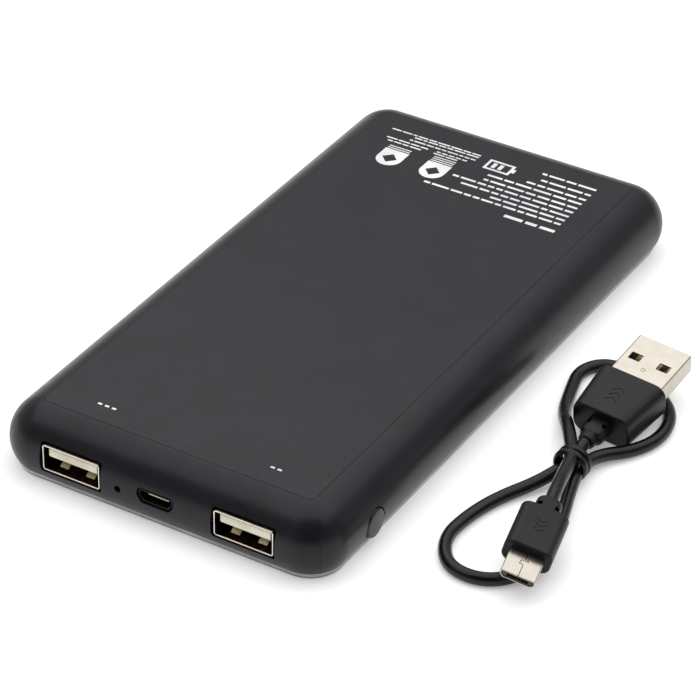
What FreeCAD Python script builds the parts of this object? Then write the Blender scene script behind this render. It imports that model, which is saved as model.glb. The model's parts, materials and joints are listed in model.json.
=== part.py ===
import FreeCAD, Part
import math
import os
import Sketcher

# Power bank: a flat slab with two USB-A outlets, one micro-USB inlet, a push button and an
# indicator light, and the tied charge cable that belongs to it, lying beside it.
# Frame: origin at the centre of the slab's underside, +Z up, ports towards -Y, button on +X.
# Millimetres throughout.

os.makedirs("parts", exist_ok=True)
doc = FreeCAD.newDocument("power_bank")
sheet = doc.addObject("Spreadsheet::Sheet", "dims")

DIMENSIONS = {
    # slab
    "bank_width": 75.0,
    "bank_length": 143.8,
    "bank_height": 14.5,
    "edge_radius": 8.5,         # one arc rounds the side, and the same radius rounds the plan's corners
    "widest_height": 6.09,      # height at which the slab is widest
    "parting_height": 1.49,     # underside of the upper shell
    # shell cavity
    "wall": 3.2,
    "upper_inset": 5.6,
    "step_height": 10.5,
    "ceiling_height": 13.1,
    "post_diameter": 3.0,       # four posts under the ceiling hold the board down
    "post_across": 24.0,
    "post_front": -51.5,
    "post_back": -44.5,
    # lower cover and the plate glued under it
    "cover_bottom": 0.75,
    "cover_edge_top": 1.35,
    "cover_inset": 1.5,
    "shoulder_inset": 2.4,
    "lip_outer_inset": 3.3,
    "lip_inner_inset": 4.3,
    "lip_top": 4.0,
    "lip_gap_depth": 4.0,
    "rib_across": 29.0,
    "rib_middle": -54.0,
    "rib_shift": 4.0,
    "rib_thickness": 1.2,
    "rib_length": 12.0,
    "plate_inset": 1.7,
    "plate_edge_top": 0.66,
    "plate_step_inset": 2.3,
    "plate_chamfer": 0.3,
    # ports
    "port_height": 6.8,
    "usb_spacing": 38.7,
    "usb_width": 13.1,
    "usb_thickness": 5.72,
    "usb_depth": 14.0,
    "usb_metal": 0.3,
    "usb_corner": 0.6,
    "usb_gap": 0.45,
    "port_recess": 0.4,         # rims stand this far behind the slab's front
    "tongue_width": 11.1,
    "tongue_thickness": 1.84,
    "tongue_drop": 0.7,         # from the inside of the port's upper wall to the tongue
    "tongue_setback": 0.8,
    "back_wall": 1.6,
    "insulator_play": 0.3,
    "usb_window_across": 3.0,   # cut-outs in the port's floor, where its springs are bent up
    "usb_window_along": 6.0,
    "usb_window_width": 2.4,
    "usb_window_length": 5.0,
    "usb_contact_width": 1.0,
    "usb_contact_length": 8.0,
    "usb_contact_start": 1.6,
    "contact_thickness": 0.15,
    "micro_width": 7.5,
    "micro_narrow": 5.6,
    "micro_thickness": 2.6,
    "micro_straight": 1.3,      # upright part of the micro port's ends
    "micro_metal": 0.3,
    "micro_depth": 5.2,
    "micro_gap": 0.3,
    "blade_rise": 0.25,
    "blade_setback": 0.85,
    "blade_width": 3.9,
    "blade_thickness": 0.6,
    "micro_contact_pitch": 0.65,
    "micro_contact_width": 0.4,
    "micro_contact_length": 3.0,
    "micro_contact_thickness": 0.1,
    "light_across": -8.43,
    "light_height": 6.26,
    "light_bore": 1.45,
    "light_pipe": 1.25,
    "light_recess": 0.35,
    "light_length": 4.1,
    "led_along": -66.9,
    # circuit board
    "board_width": 63.0,
    "board_length": 26.0,
    "board_thickness": 1.0,
    "board_top": 5.35,
    "notch_depth": 11.0,
    "board_front": 3.4,         # from the slab's front to the board's front edge
    "board_corner": 2.0,
    # push button and its switch
    "button_along": -53.9,
    "button_height": 5.1,
    "button_diameter": 6.1,
    "button_bore": 6.5,
    "button_proud": 0.25,
    "button_edge": 0.35,
    "flange_length": 9.0,
    "flange_height": 5.2,
    "flange_thickness": 0.7,
    "flange_face": 34.2,
    "flange_rise": 0.2,
    "stem_drop": 0.6,
    "stem_end": 32.6,
    "stem_diameter": 3.2,
    "switch_front": 31.5,
    "switch_depth": 4.0,
    "switch_length": 6.0,
    "switch_height": 3.0,
    "plunger_reach": 1.05,
    "plunger_length": 2.4,
    "plunger_height": 1.2,
    "plunger_centre": 6.6,
    "plunger_play": 0.1,
    "plunger_root": 1.0,        # part of the plunger inside the switch at rest
    "socket_depth": 1.6,
    # cells
    "cell_width": 62.0,
    "cell_length": 102.0,
    "cell_thickness": 5.0,
    "cell_corner": 2.2,
    "cell_along": 13.0,
    "cell_floor": 1.8,
    "tape_thickness": 0.2,
    "strip_across": 16.0,
    "strip_width": 6.0,
    "strip_reach": 2.6,
    "strip_thickness": 0.2,
    "wire_diameter": 1.3,
    # plug at the cable's USB-A end
    "plug_width": 12.0,
    "plug_thickness": 4.5,
    "plug_metal": 0.3,
    "plug_corner": 0.5,
    "plug_end": 0.4,            # thickness of the metal's closed end inside the grip
    "plug_window_along": 6.1,
    "plug_window_across": 3.2,
    "plug_window_length": 2.0,
    "plug_window_width": 2.6,
    "core_thickness": 1.8,      # the insulator lies on the lower side of the plug's inside
    "core_play": 0.84,
    "core_lift": 0.11,
    "core_setback": 0.5,
    "plug_contact_start": 1.15,
    "plug_contact_length": 8.5,
    "plug_contact_width": 1.1,
    "plug_reach": 12.2,
    "plug_seat": 6.0,
    "plug_grip_width": 15.3,
    "plug_grip_rear_width": 12.8,
    "plug_grip_thickness": 7.7,
    "plug_grip_length": 12.35,
    "plug_grip_corner": 2.5,
    # plug at the cable's micro-USB end
    "small_width": 6.85,
    "small_thickness": 1.8,
    "small_chamfer": 0.7,
    "small_metal": 0.25,
    "small_play": 0.03,
    "small_setback": 0.2,       # the insulator's face behind the metal's rim
    "small_slot_drop": 0.1,
    "small_slot_width": 4.2,
    "small_slot_height": 0.7,
    "small_slot_depth": 4.6,
    "small_contact_start": 0.4,
    "small_contact_length": 4.0,
    "small_contact_width": 0.35,
    "small_reach": 6.1,
    "small_seat": 3.0,
    "small_grip_width": 9.55,
    "small_grip_rear_width": 9.55,
    "small_grip_thickness": 5.5,
    "small_grip_length": 11.75,
    "small_grip_corner": 1.85,
    # cord and its tie
    "relief_width": 5.2,
    "relief_thickness": 3.8,
    "relief_length": 4.0,
    "relief_corner": 1.5,
    "slot_along": 1.4,          # from the grip's end to the middle of the relief's two slots
    "slot_inset": 0.9,
    "slot_width": 0.9,
    "slot_length": 1.0,
    "slot_depth": 0.8,
    "neck_diameter": 3.6,
    "neck_length": 1.5,
    "cord_diameter": 2.7,
    "tie_inner_radius": 3.15,
    "tie_outer_radius": 3.65,
    "tie_length": 3.2,
}

for row, (alias, number) in enumerate(DIMENSIONS.items(), start=1):
    sheet.set("A%d" % row, alias)
    sheet.set("B%d" % row, str(number))
    sheet.setAlias("B%d" % row, alias)
doc.recompute()

SUB_PARTS = []


# ---------------------------------------------------------------- helpers

def bound(expression):
    """An expression of sheet aliases, written out with the sheet's name for each alias."""
    words = []
    for word in expression.split(" "):
        words.append("dims." + word if word in DIMENSIONS else word)
    return " ".join(words)


def value(expression):
    return float(sheet.evalExpression(bound(expression)))


def bind(thing, attribute, expression):
    thing.setExpression(attribute, bound(expression))


def new_body(label):
    body = doc.addObject("PartDesign::Body", label)
    body.Label = label
    SUB_PARTS.append(body)
    return body


def sketch_on(body, role, name, across="0", up="0", out="0"):
    """A sketch on one of the body's origin planes, moved by across, up and out in its own axes.

    On XY_Plane those are X, Y and Z, on XZ_Plane X, Z and -Y, on YZ_Plane Y, Z and X.
    """
    sketch = body.newObject("Sketcher::SketchObject", body.Name + "_" + name)
    plane = [item for item in body.Origin.OriginFeatures if item.Role == role][0]
    sketch.AttachmentSupport = (plane, [""])
    sketch.MapMode = "FlatFace"
    bind(sketch, "AttachmentOffset.Base.x", across)
    bind(sketch, "AttachmentOffset.Base.y", up)
    bind(sketch, "AttachmentOffset.Base.z", out)
    return sketch


def constrain(sketch, name, expression, *what):
    index = sketch.addConstraint(Sketcher.Constraint(*what, value(expression)))
    sketch.renameConstraint(index, name)
    bind(sketch, "Constraints." + name, expression)


def join_ends(sketch, count):
    """Join each of the first count edges to the next one, round to the first."""
    for edge in range(count):
        sketch.addConstraint(Sketcher.Constraint("Coincident", edge, 2, (edge + 1) % count, 1))


def add_lines(sketch, corners):
    for index, corner in enumerate(corners):
        following = corners[(index + 1) % len(corners)]
        start = FreeCAD.Vector(*corner, 0)
        end = FreeCAD.Vector(*following, 0)
        sketch.addGeometry(Part.LineSegment(start, end))
    join_ends(sketch, len(corners))


def rectangle(sketch, width, height):
    """A rectangle centred on the sketch's origin."""
    half_width = value(width) / 2
    half_height = value(height) / 2
    add_lines(sketch, [(-half_width, -half_height), (half_width, -half_height),
                       (half_width, half_height), (-half_width, half_height)])
    for edge, kind in enumerate(("Horizontal", "Vertical", "Horizontal", "Vertical")):
        sketch.addConstraint(Sketcher.Constraint(kind, edge))
    sketch.addConstraint(Sketcher.Constraint("Symmetric", 0, 1, 2, 1, -1, 1))
    constrain(sketch, "width", width, "DistanceX", 0, 1, 0, 2)
    constrain(sketch, "height", height, "DistanceY", 1, 1, 1, 2)


def rounded_rectangle(sketch, width, height, radius):
    """A rectangle with rounded corners, centred on the sketch's origin."""
    r = value(radius)
    x = value(width) / 2 - r
    y = value(height) / 2 - r
    up = FreeCAD.Vector(0, 0, 1)
    ends = [((-x, -y - r), (x, -y - r)), ((x + r, -y), (x + r, y)),
            ((x, y + r), (-x, y + r)), ((-x - r, y), (-x - r, -y))]
    centres = [(x, -y), (x, y), (-x, y), (-x, -y)]
    for quarter in range(4):
        start, end = ends[quarter]
        sketch.addGeometry(Part.LineSegment(FreeCAD.Vector(*start, 0), FreeCAD.Vector(*end, 0)))
        circle = Part.Circle(FreeCAD.Vector(*centres[quarter], 0), up, r)
        begin = (quarter - 1) * math.pi / 2
        sketch.addGeometry(Part.ArcOfCircle(circle, begin, begin + math.pi / 2))
    for edge in range(8):
        sketch.addConstraint(Sketcher.Constraint("Tangent", edge, 2, (edge + 1) % 8, 1))
    for edge, kind in ((0, "Horizontal"), (2, "Vertical"), (4, "Horizontal"), (6, "Vertical")):
        sketch.addConstraint(Sketcher.Constraint(kind, edge))
    for arc in (3, 5, 7):
        sketch.addConstraint(Sketcher.Constraint("Equal", 1, arc))
    sketch.addConstraint(Sketcher.Constraint("Symmetric", 1, 3, 5, 3, -1, 1))
    constrain(sketch, "radius", radius, "Radius", 1)
    constrain(sketch, "width", width, "DistanceX", 6, 1, 2, 1)
    constrain(sketch, "height", height, "DistanceY", 0, 1, 4, 2)


def circle(sketch, diameter):
    """A circle centred on the sketch's origin."""
    sketch.addGeometry(Part.Circle(FreeCAD.Vector(), FreeCAD.Vector(0, 0, 1), value(diameter) / 2))
    sketch.addConstraint(Sketcher.Constraint("Coincident", 0, 3, -1, 1))
    constrain(sketch, "diameter", diameter, "Diameter", 0)


def keyed_trapezoid(sketch, width, narrow, height, straight):
    """Wide at the top with upright ends, tapering to a narrower bottom, centred on the origin."""
    half = value(width) / 2
    low = value(narrow) / 2
    top = value(height) / 2
    knee = top - value(straight)
    add_lines(sketch, [(-low, -top), (low, -top), (half, knee),
                       (half, top), (-half, top), (-half, knee)])
    sketch.addConstraint(Sketcher.Constraint("Vertical", 2))
    sketch.addConstraint(Sketcher.Constraint("Vertical", 4))
    sketch.addConstraint(Sketcher.Constraint("Symmetric", 0, 1, 0, 2, -2))
    sketch.addConstraint(Sketcher.Constraint("Symmetric", 3, 1, 3, 2, -2))
    sketch.addConstraint(Sketcher.Constraint("Equal", 2, 4))
    constrain(sketch, "narrow", narrow, "DistanceX", 0, 1, 0, 2)
    constrain(sketch, "width", width, "DistanceX", 3, 2, 3, 1)
    constrain(sketch, "straight", straight, "DistanceY", 2, 1, 2, 2)
    constrain(sketch, "below", "( %s ) / 2" % height, "DistanceY", 0, 1, -1, 1)
    constrain(sketch, "above", "( %s ) / 2" % height, "DistanceY", -1, 1, 3, 1)


def pad(body, sketch, length, reverse=False, midplane=False):
    feature = body.newObject("PartDesign::Pad", sketch.Name + "_pad")
    feature.Profile = sketch
    bind(feature, "Length", length)
    feature.Reversed = reverse
    feature.Midplane = midplane
    doc.recompute()
    return feature


def loft(body, first, last):
    """Join two sketches with straight sides."""
    feature = body.newObject("PartDesign::AdditiveLoft", first.Name + "_loft")
    feature.Profile = first
    feature.Sections = [last]
    feature.Ruled = True
    doc.recompute()
    return feature


def pocket(body, sketch, length, reverse=False):
    """Cut against the sketch's normal, or along it when reversed, and prove that it cut."""
    before = body.Shape.Volume
    feature = body.newObject("PartDesign::Pocket", sketch.Name + "_pocket")
    feature.Profile = sketch
    bind(feature, "Length", length)
    feature.Reversed = reverse
    doc.recompute()
    if not body.Shape.Volume < before - 1e-4:
        raise RuntimeError("the pocket %s removed nothing" % feature.Name)
    return feature


def revolve(body, sketch, axis="V_Axis"):
    feature = body.newObject("PartDesign::Revolution", sketch.Name + "_turn")
    feature.Profile = sketch
    feature.ReferenceAxis = (sketch, [axis])
    feature.Angle = 360.0
    doc.recompute()
    return feature


def dress(body, kind, names, size):
    """A Fillet or Chamfer on the body's tip."""
    base = body.Tip
    feature = body.newObject("PartDesign::" + kind, body.Name + "_" + kind.lower())
    feature.Base = (base, names)
    bind(feature, "Radius" if kind == "Fillet" else "Size", size)
    doc.recompute()
    return feature


def block(label, sizes, centre, bottom, corner=None):
    """A block on the XY plane: sizes and centre are expressions, corner rounds its upright edges."""
    body = new_body(label)
    sketch = sketch_on(body, "XY_Plane", "outline", centre[0], centre[1], bottom)
    if corner:
        rounded_rectangle(sketch, sizes[0], sizes[1], corner)
    else:
        rectangle(sketch, sizes[0], sizes[1])
    pad(body, sketch, sizes[2])
    return body


def bar(name, sizes, centre, bottom):
    """A Part::Box from expressions, centred in X and Y and standing on bottom."""
    box = doc.addObject("Part::Box", name)
    bind(box, "Length", sizes[0])
    bind(box, "Width", sizes[1])
    bind(box, "Height", sizes[2])
    bind(box, "Placement.Base.x", "( %s ) - ( %s ) / 2" % (centre[0], sizes[0]))
    bind(box, "Placement.Base.y", "( %s ) - ( %s ) / 2" % (centre[1], sizes[1]))
    bind(box, "Placement.Base.z", bottom)
    return box


def group(label, members):
    """Separate solids that share one node."""
    compound = doc.addObject("Part::Compound", label)
    compound.Label = label
    compound.Links = members
    SUB_PARTS.append(compound)
    return compound


def fused(label, members):
    union = doc.addObject("Part::MultiFuse", label)
    union.Label = label
    union.Shapes = members
    SUB_PARTS.append(union)
    return union


# ---------------------------------------------------------------- housing

def slab_section(sketch, size):
    """The slab's cross-section: flat top and bottom, one arc round each side."""
    radius = value("edge_radius")
    middle = value("widest_height")
    low = value("parting_height")
    high = value("bank_height")
    centre = value(size) / 2 - radius
    up_angle = math.asin((high - middle) / radius)
    down_angle = math.asin((low - middle) / radius)
    x_high = centre + radius * math.cos(up_angle)
    x_low = centre + radius * math.cos(down_angle)
    axis = FreeCAD.Vector(0, 0, 1)
    sketch.addGeometry(Part.LineSegment(FreeCAD.Vector(-x_low, low, 0), FreeCAD.Vector(x_low, low, 0)))
    right = Part.Circle(FreeCAD.Vector(centre, middle, 0), axis, radius)
    sketch.addGeometry(Part.ArcOfCircle(right, down_angle, up_angle))
    top_right = FreeCAD.Vector(x_high, high, 0)
    top_left = FreeCAD.Vector(-x_high, high, 0)
    sketch.addGeometry(Part.LineSegment(top_right, top_left))
    left = Part.Circle(FreeCAD.Vector(-centre, middle, 0), axis, radius)
    sketch.addGeometry(Part.ArcOfCircle(left, math.pi - up_angle, math.pi - down_angle))
    join_ends(sketch, 4)
    sketch.addConstraint(Sketcher.Constraint("Horizontal", 0))
    sketch.addConstraint(Sketcher.Constraint("Horizontal", 2))
    sketch.addConstraint(Sketcher.Constraint("Symmetric", 1, 3, 3, 3, -2))
    sketch.addConstraint(Sketcher.Constraint("Equal", 1, 3))
    constrain(sketch, "radius", "edge_radius", "Radius", 1)
    constrain(sketch, "centres", size + " - 2 * edge_radius", "DistanceX", 3, 3, 1, 3)
    constrain(sketch, "middle", "widest_height", "DistanceY", -1, 1, 1, 3)
    constrain(sketch, "low", "parting_height", "DistanceY", -1, 1, 0, 2)
    constrain(sketch, "high", "bank_height", "DistanceY", -1, 1, 2, 1)


def corner_section(sketch):
    """Half of the section above with no flat between: it turns about the sketch's upright axis."""
    radius = value("edge_radius")
    middle = value("widest_height")
    low = value("parting_height")
    high = value("bank_height")
    up_angle = math.asin((high - middle) / radius)
    down_angle = math.asin((low - middle) / radius)
    x_high = radius * math.cos(up_angle)
    x_low = radius * math.cos(down_angle)
    sketch.addGeometry(Part.LineSegment(FreeCAD.Vector(0, low, 0), FreeCAD.Vector(x_low, low, 0)))
    ball = Part.Circle(FreeCAD.Vector(0, middle, 0), FreeCAD.Vector(0, 0, 1), radius)
    sketch.addGeometry(Part.ArcOfCircle(ball, down_angle, up_angle))
    sketch.addGeometry(Part.LineSegment(FreeCAD.Vector(x_high, high, 0), FreeCAD.Vector(0, high, 0)))
    sketch.addGeometry(Part.LineSegment(FreeCAD.Vector(0, high, 0), FreeCAD.Vector(0, low, 0)))
    join_ends(sketch, 4)
    sketch.addConstraint(Sketcher.Constraint("Horizontal", 0))
    sketch.addConstraint(Sketcher.Constraint("Horizontal", 2))
    sketch.addConstraint(Sketcher.Constraint("PointOnObject", 3, 1, -2))
    sketch.addConstraint(Sketcher.Constraint("PointOnObject", 3, 2, -2))
    sketch.addConstraint(Sketcher.Constraint("PointOnObject", 1, 3, -2))
    constrain(sketch, "radius", "edge_radius", "Radius", 1)
    constrain(sketch, "middle", "widest_height", "DistanceY", -1, 1, 1, 3)
    constrain(sketch, "low", "parting_height", "DistanceY", -1, 1, 0, 2)
    constrain(sketch, "high", "bank_height", "DistanceY", -1, 1, 2, 1)


def cavity(body, name, inset, bottom, top):
    """A rounded pocket inside the shell, from bottom to top."""
    sketch = sketch_on(body, "XY_Plane", name, out=bottom)
    rounded_rectangle(sketch, "bank_width - 2 * " + inset, "bank_length - 2 * " + inset,
                      "edge_radius - " + inset)
    pocket(body, sketch, top + " - " + bottom, reverse=True)


def make_upper_shell():
    """The one-piece shell: top, sides and port end, open underneath."""
    body = new_body("upper_shell")
    across = sketch_on(body, "XZ_Plane", "cross_section")
    slab_section(across, "bank_width")
    pad(body, across, "bank_length - 2 * edge_radius", midplane=True)
    along = sketch_on(body, "YZ_Plane", "long_section")
    slab_section(along, "bank_length")
    pad(body, along, "bank_width - 2 * edge_radius", midplane=True)
    for side in (-1, 1):
        for end in (-1, 1):
            name = "corner_%d_%d" % (side + 1, end + 1)
            sketch = sketch_on(body, "XZ_Plane", name,
                               across="%d * ( bank_width / 2 - edge_radius )" % side,
                               out="%d * ( bank_length / 2 - edge_radius )" % -end)
            corner_section(sketch)
            revolve(body, sketch)
    cavity(body, "lower_cavity", "wall", "parting_height", "step_height")
    cavity(body, "upper_cavity", "upper_inset", "step_height", "ceiling_height")
    cut_front_openings(body)
    bore = sketch_on(body, "YZ_Plane", "button_bore", "button_along", "button_height",
                     "bank_width / 2 + 1")
    circle(bore, "button_bore")
    pocket(body, bore, "wall + 1.5")
    for side in (-1, 1):
        for place, along in (("front", "post_front"), ("back", "post_back")):
            post = sketch_on(body, "XY_Plane", "post_%s_%d" % (place, side + 1),
                             across="%d * post_across" % side, up=along, out="board_top")
            circle(post, "post_diameter")
            pad(body, post, "ceiling_height - board_top")
    return body


def cut_front_openings(body):
    """Openings in the front wall for the two USB-A ports, the micro-USB port and the light."""
    outside = "bank_length / 2 + 1"
    through = "wall + 1.5"
    for side in (-1, 1):
        sketch = sketch_on(body, "XZ_Plane", "usb_opening_%d" % (side + 1),
                           "%d * usb_spacing / 2" % side, "port_height", outside)
        rounded_rectangle(sketch, "usb_width + 2 * usb_gap", "usb_thickness + 2 * usb_gap", "usb_corner")
        pocket(body, sketch, through)
    micro = sketch_on(body, "XZ_Plane", "micro_opening", "0", "port_height", outside)
    keyed_trapezoid(micro, "micro_width + 2 * micro_gap", "micro_narrow + 2 * micro_gap",
                    "micro_thickness + 2 * micro_gap", "micro_straight + micro_gap")
    pocket(body, micro, through)
    light = sketch_on(body, "XZ_Plane", "light_bore", "light_across", "light_height", outside)
    circle(light, "light_bore")
    pocket(body, light, through)


def make_lower_cover():
    """The frame that closes the shell from below: a thin edge, a shoulder and a snap lip."""
    body = new_body("lower_cover")
    layers = (("edge", "cover_inset", "cover_bottom", "cover_edge_top"),
              ("shoulder", "shoulder_inset", "cover_edge_top", "parting_height"),
              ("lip", "lip_outer_inset", "parting_height", "lip_top"))
    for name, inset, bottom, top in layers:
        sketch = sketch_on(body, "XY_Plane", name, out=bottom)
        rounded_rectangle(sketch, "bank_width - 2 * " + inset, "bank_length - 2 * " + inset,
                          "edge_radius - " + inset)
        pad(body, sketch, top + " - " + bottom)
    inside = sketch_on(body, "XY_Plane", "lip_inside", out="lip_top")
    rounded_rectangle(inside, "bank_width - 2 * lip_inner_inset", "bank_length - 2 * lip_inner_inset",
                      "edge_radius - lip_inner_inset")
    pocket(body, inside, "lip_top - parting_height")
    # the lip stops short at the port end and beside the button
    front = sketch_on(body, "XY_Plane", "lip_front", up="-1 * bank_length / 2 + lip_gap_depth",
                      out="lip_top")
    rectangle(front, "bank_width - 4 * lip_outer_inset", "lip_gap_depth")
    pocket(body, front, "lip_top - parting_height")
    beside = sketch_on(body, "XY_Plane", "lip_button", "bank_width / 2 - lip_gap_depth",
                       "button_along", "lip_top")
    rectangle(beside, "lip_gap_depth", "flange_length + 2")
    pocket(body, beside, "lip_top - parting_height")
    # the board rests on a rib at each side; the one beside the button stands further forward
    for side in (-1, 1):
        rib = sketch_on(body, "XY_Plane", "board_rib_%d" % (side + 1), "%d * rib_across" % side,
                        "rib_middle - %d * rib_shift" % side, "parting_height")
        rectangle(rib, "rib_thickness", "rib_length")
        pad(body, rib, "board_top - board_thickness - parting_height")
    return body


def make_base_plate():
    """The flat plate that the slab rests on, glued to the cover over a recessed step."""
    body = new_body("base_plate")
    sketch = sketch_on(body, "XY_Plane", "face")
    rounded_rectangle(sketch, "bank_width - 2 * plate_inset", "bank_length - 2 * plate_inset",
                      "edge_radius - plate_inset")
    pad(body, sketch, "plate_edge_top")
    names = ["Edge%d" % (index + 1) for index, edge in enumerate(body.Shape.Edges)
             if abs(edge.CenterOfMass.z) < 1e-6]
    dress(body, "Chamfer", names, "plate_chamfer")
    step = sketch_on(body, "XY_Plane", "step", out="plate_edge_top")
    rounded_rectangle(step, "bank_width - 2 * plate_step_inset", "bank_length - 2 * plate_step_inset",
                      "edge_radius - plate_step_inset")
    pad(body, step, "cover_bottom - plate_edge_top")
    return body


# ---------------------------------------------------------------- ports

# the four USB-A contacts, measured across from the middle of the plug or port
CONTACT_PLACES = ("-3.5", "-1.0", "1.0", "3.5")


def make_usb_port(name, side):
    """A USB-A receptacle: formed metal shell, insulator with its tongue, four contacts."""
    across = "%d * usb_spacing / 2" % side
    front = "bank_length / 2 - port_recess"
    shell = new_body("usb_port_%s_shell" % name)
    outside = sketch_on(shell, "XZ_Plane", "outside", across, "port_height", front)
    rounded_rectangle(outside, "usb_width", "usb_thickness", "usb_corner")
    pad(shell, outside, "usb_depth", reverse=True)
    inside = sketch_on(shell, "XZ_Plane", "inside", across, "port_height", front)
    rounded_rectangle(inside, "usb_width - 2 * usb_metal", "usb_thickness - 2 * usb_metal",
                      "usb_corner - usb_metal / 2")
    pocket(shell, inside, "usb_depth")
    for place in (-1, 1):
        window = sketch_on(shell, "XY_Plane", "window_%d" % (place + 1),
                           "( %s ) + %d * usb_window_across" % (across, place),
                           "-1 * ( %s ) + usb_window_along" % front,
                           "port_height - usb_thickness / 2")
        rectangle(window, "usb_window_width", "usb_window_length")
        pocket(shell, window, "usb_metal", reverse=True)
    insulator = new_body("usb_port_%s_tongue" % name)
    back = sketch_on(insulator, "XZ_Plane", "back", across, "port_height",
                     front + " - usb_depth + back_wall")
    rectangle(back, "usb_width - 2 * usb_metal - insulator_play",
              "usb_thickness - 2 * usb_metal - insulator_play")
    pad(insulator, back, "back_wall", reverse=True)
    tongue_height = "port_height + usb_thickness / 2 - usb_metal - tongue_drop - tongue_thickness / 2"
    tongue = sketch_on(insulator, "XZ_Plane", "tongue", across, tongue_height,
                       front + " - tongue_setback")
    rectangle(tongue, "tongue_width", "tongue_thickness")
    pad(insulator, tongue, "usb_depth - back_wall - tongue_setback", reverse=True)
    contacts = []
    for index, offset in enumerate(CONTACT_PLACES):
        sizes = ("usb_contact_width", "usb_contact_length", "contact_thickness")
        centre = ("( %s ) + %s" % (across, offset),
                  "-1 * ( %s ) + usb_contact_length / 2 + usb_contact_start" % front)
        contacts.append(bar("usb_port_%s_contact_%d" % (name, index), sizes, centre,
                            "( %s ) - tongue_thickness / 2 - contact_thickness" % tongue_height))
    group("usb_port_%s_contacts" % name, contacts)


def make_micro_port():
    """The micro-USB receptacle on the board: keyed metal shell, tongue and five contacts."""
    front = "bank_length / 2 - port_recess"
    shell = new_body("micro_port_shell")
    outside = sketch_on(shell, "XZ_Plane", "outside", "0", "port_height", front)
    keyed_trapezoid(outside, "micro_width", "micro_narrow", "micro_thickness", "micro_straight")
    pad(shell, outside, "micro_depth", reverse=True)
    inside = sketch_on(shell, "XZ_Plane", "inside", "0", "port_height", front)
    keyed_trapezoid(inside, "micro_width - 2 * micro_metal", "micro_narrow - 1.6 * micro_metal",
                    "micro_thickness - 2 * micro_metal", "micro_straight - micro_metal")
    pocket(shell, inside, "micro_depth")
    tongue = new_body("micro_port_tongue")
    back = sketch_on(tongue, "XZ_Plane", "back", "0", "port_height",
                     front + " - micro_depth + blade_setback")
    keyed_trapezoid(back, "micro_width - 2.1 * micro_metal", "micro_narrow - 1.8 * micro_metal",
                    "micro_thickness - 2.1 * micro_metal", "micro_straight - micro_metal")
    pad(tongue, back, "blade_setback", reverse=True)
    blade = sketch_on(tongue, "XZ_Plane", "blade", "0", "port_height + blade_rise",
                      front + " - blade_setback")
    rectangle(blade, "blade_width", "blade_thickness")
    pad(tongue, blade, "micro_depth - 2 * blade_setback", reverse=True)
    contacts = []
    for index in range(5):
        sizes = ("micro_contact_width", "micro_contact_length", "micro_contact_thickness")
        centre = ("micro_contact_pitch * %d" % (index - 2), "-1 * ( %s ) + micro_depth / 2" % front)
        contacts.append(bar("micro_port_contact_%d" % index, sizes, centre,
                            "port_height + blade_rise - blade_thickness / 2 - micro_contact_thickness"))
    group("micro_port_contacts", contacts)


# ---------------------------------------------------------------- board, button and light

def make_circuit_board():
    """The board, notched for the two sunk USB-A ports."""
    middle = "-1 * bank_length / 2 + board_front + board_length / 2"
    body = block("circuit_board", ("board_width", "board_length", "board_thickness"), ("0", middle),
                 "board_top - board_thickness", "board_corner")
    for side in (-1, 1):
        notch = sketch_on(body, "XY_Plane", "notch_%d" % (side + 1), "%d * usb_spacing / 2" % side,
                          "-1 * bank_length / 2 + board_front + notch_depth / 2 - 0.5",
                          "board_top")
        rectangle(notch, "usb_width + 0.4", "notch_depth + 1")
        pocket(body, notch, "board_thickness")


def make_board_parts():
    """The larger components soldered to the board, each with its sizes and its place on it."""
    block("power_inductor", ("7.0", "7.0", "4.2"), ("9.0", "-50.0"), "board_top", "1.0")
    block("boost_controller", ("5.0", "5.0", "1.0"), ("-1.0", "-50.0"), "board_top")
    block("charge_controller", ("5.0", "4.0", "1.1"), ("-10.5", "-50.0"), "board_top")
    block("battery_protector", ("3.0", "4.4", "1.1"), ("-19.5", "-48.5"), "board_top")
    ceramic = []
    for across in ("15.5", "19.0"):
        for along in ("-52.5", "-49.5"):
            name = "capacitor_%d" % len(ceramic)
            ceramic.append(bar(name, ("1.6", "2.4", "1.5"), (across, along), "board_top"))
    group("board_capacitors", ceramic)


def make_light():
    """The indicator: a surface-mount lamp on the board and the clear pipe in the front wall."""
    block("indicator_led", ("1.6", "0.8", "1.3"), ("light_across", "led_along"), "board_top")
    pipe = new_body("light_pipe")
    sketch = sketch_on(pipe, "XZ_Plane", "round", "light_across", "light_height",
                       "bank_length / 2 - light_recess")
    circle(sketch, "light_pipe")
    pad(pipe, sketch, "light_length", reverse=True)


def make_button():
    """The round push button: domed cap through the side wall, retaining flange and stem."""
    body = new_body("button_cap")
    cap = sketch_on(body, "YZ_Plane", "cap", "button_along", "button_height", "flange_face")
    circle(cap, "button_diameter")
    pad(body, cap, "bank_width / 2 + button_proud - flange_face")
    names = ["Edge%d" % (index + 1) for index, edge in enumerate(body.Shape.Edges)
             if edge.CenterOfMass.x > value("bank_width / 2")]
    dress(body, "Fillet", names, "button_edge")
    flange = sketch_on(body, "YZ_Plane", "flange", "button_along", "button_height + flange_rise",
                       "flange_face - flange_thickness")
    rectangle(flange, "flange_length", "flange_height")
    pad(body, flange, "flange_thickness")
    stem = sketch_on(body, "YZ_Plane", "stem", "button_along", "plunger_centre - stem_drop",
                     "stem_end")
    circle(stem, "stem_diameter")
    pad(body, stem, "flange_face - flange_thickness - stem_end")


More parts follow.
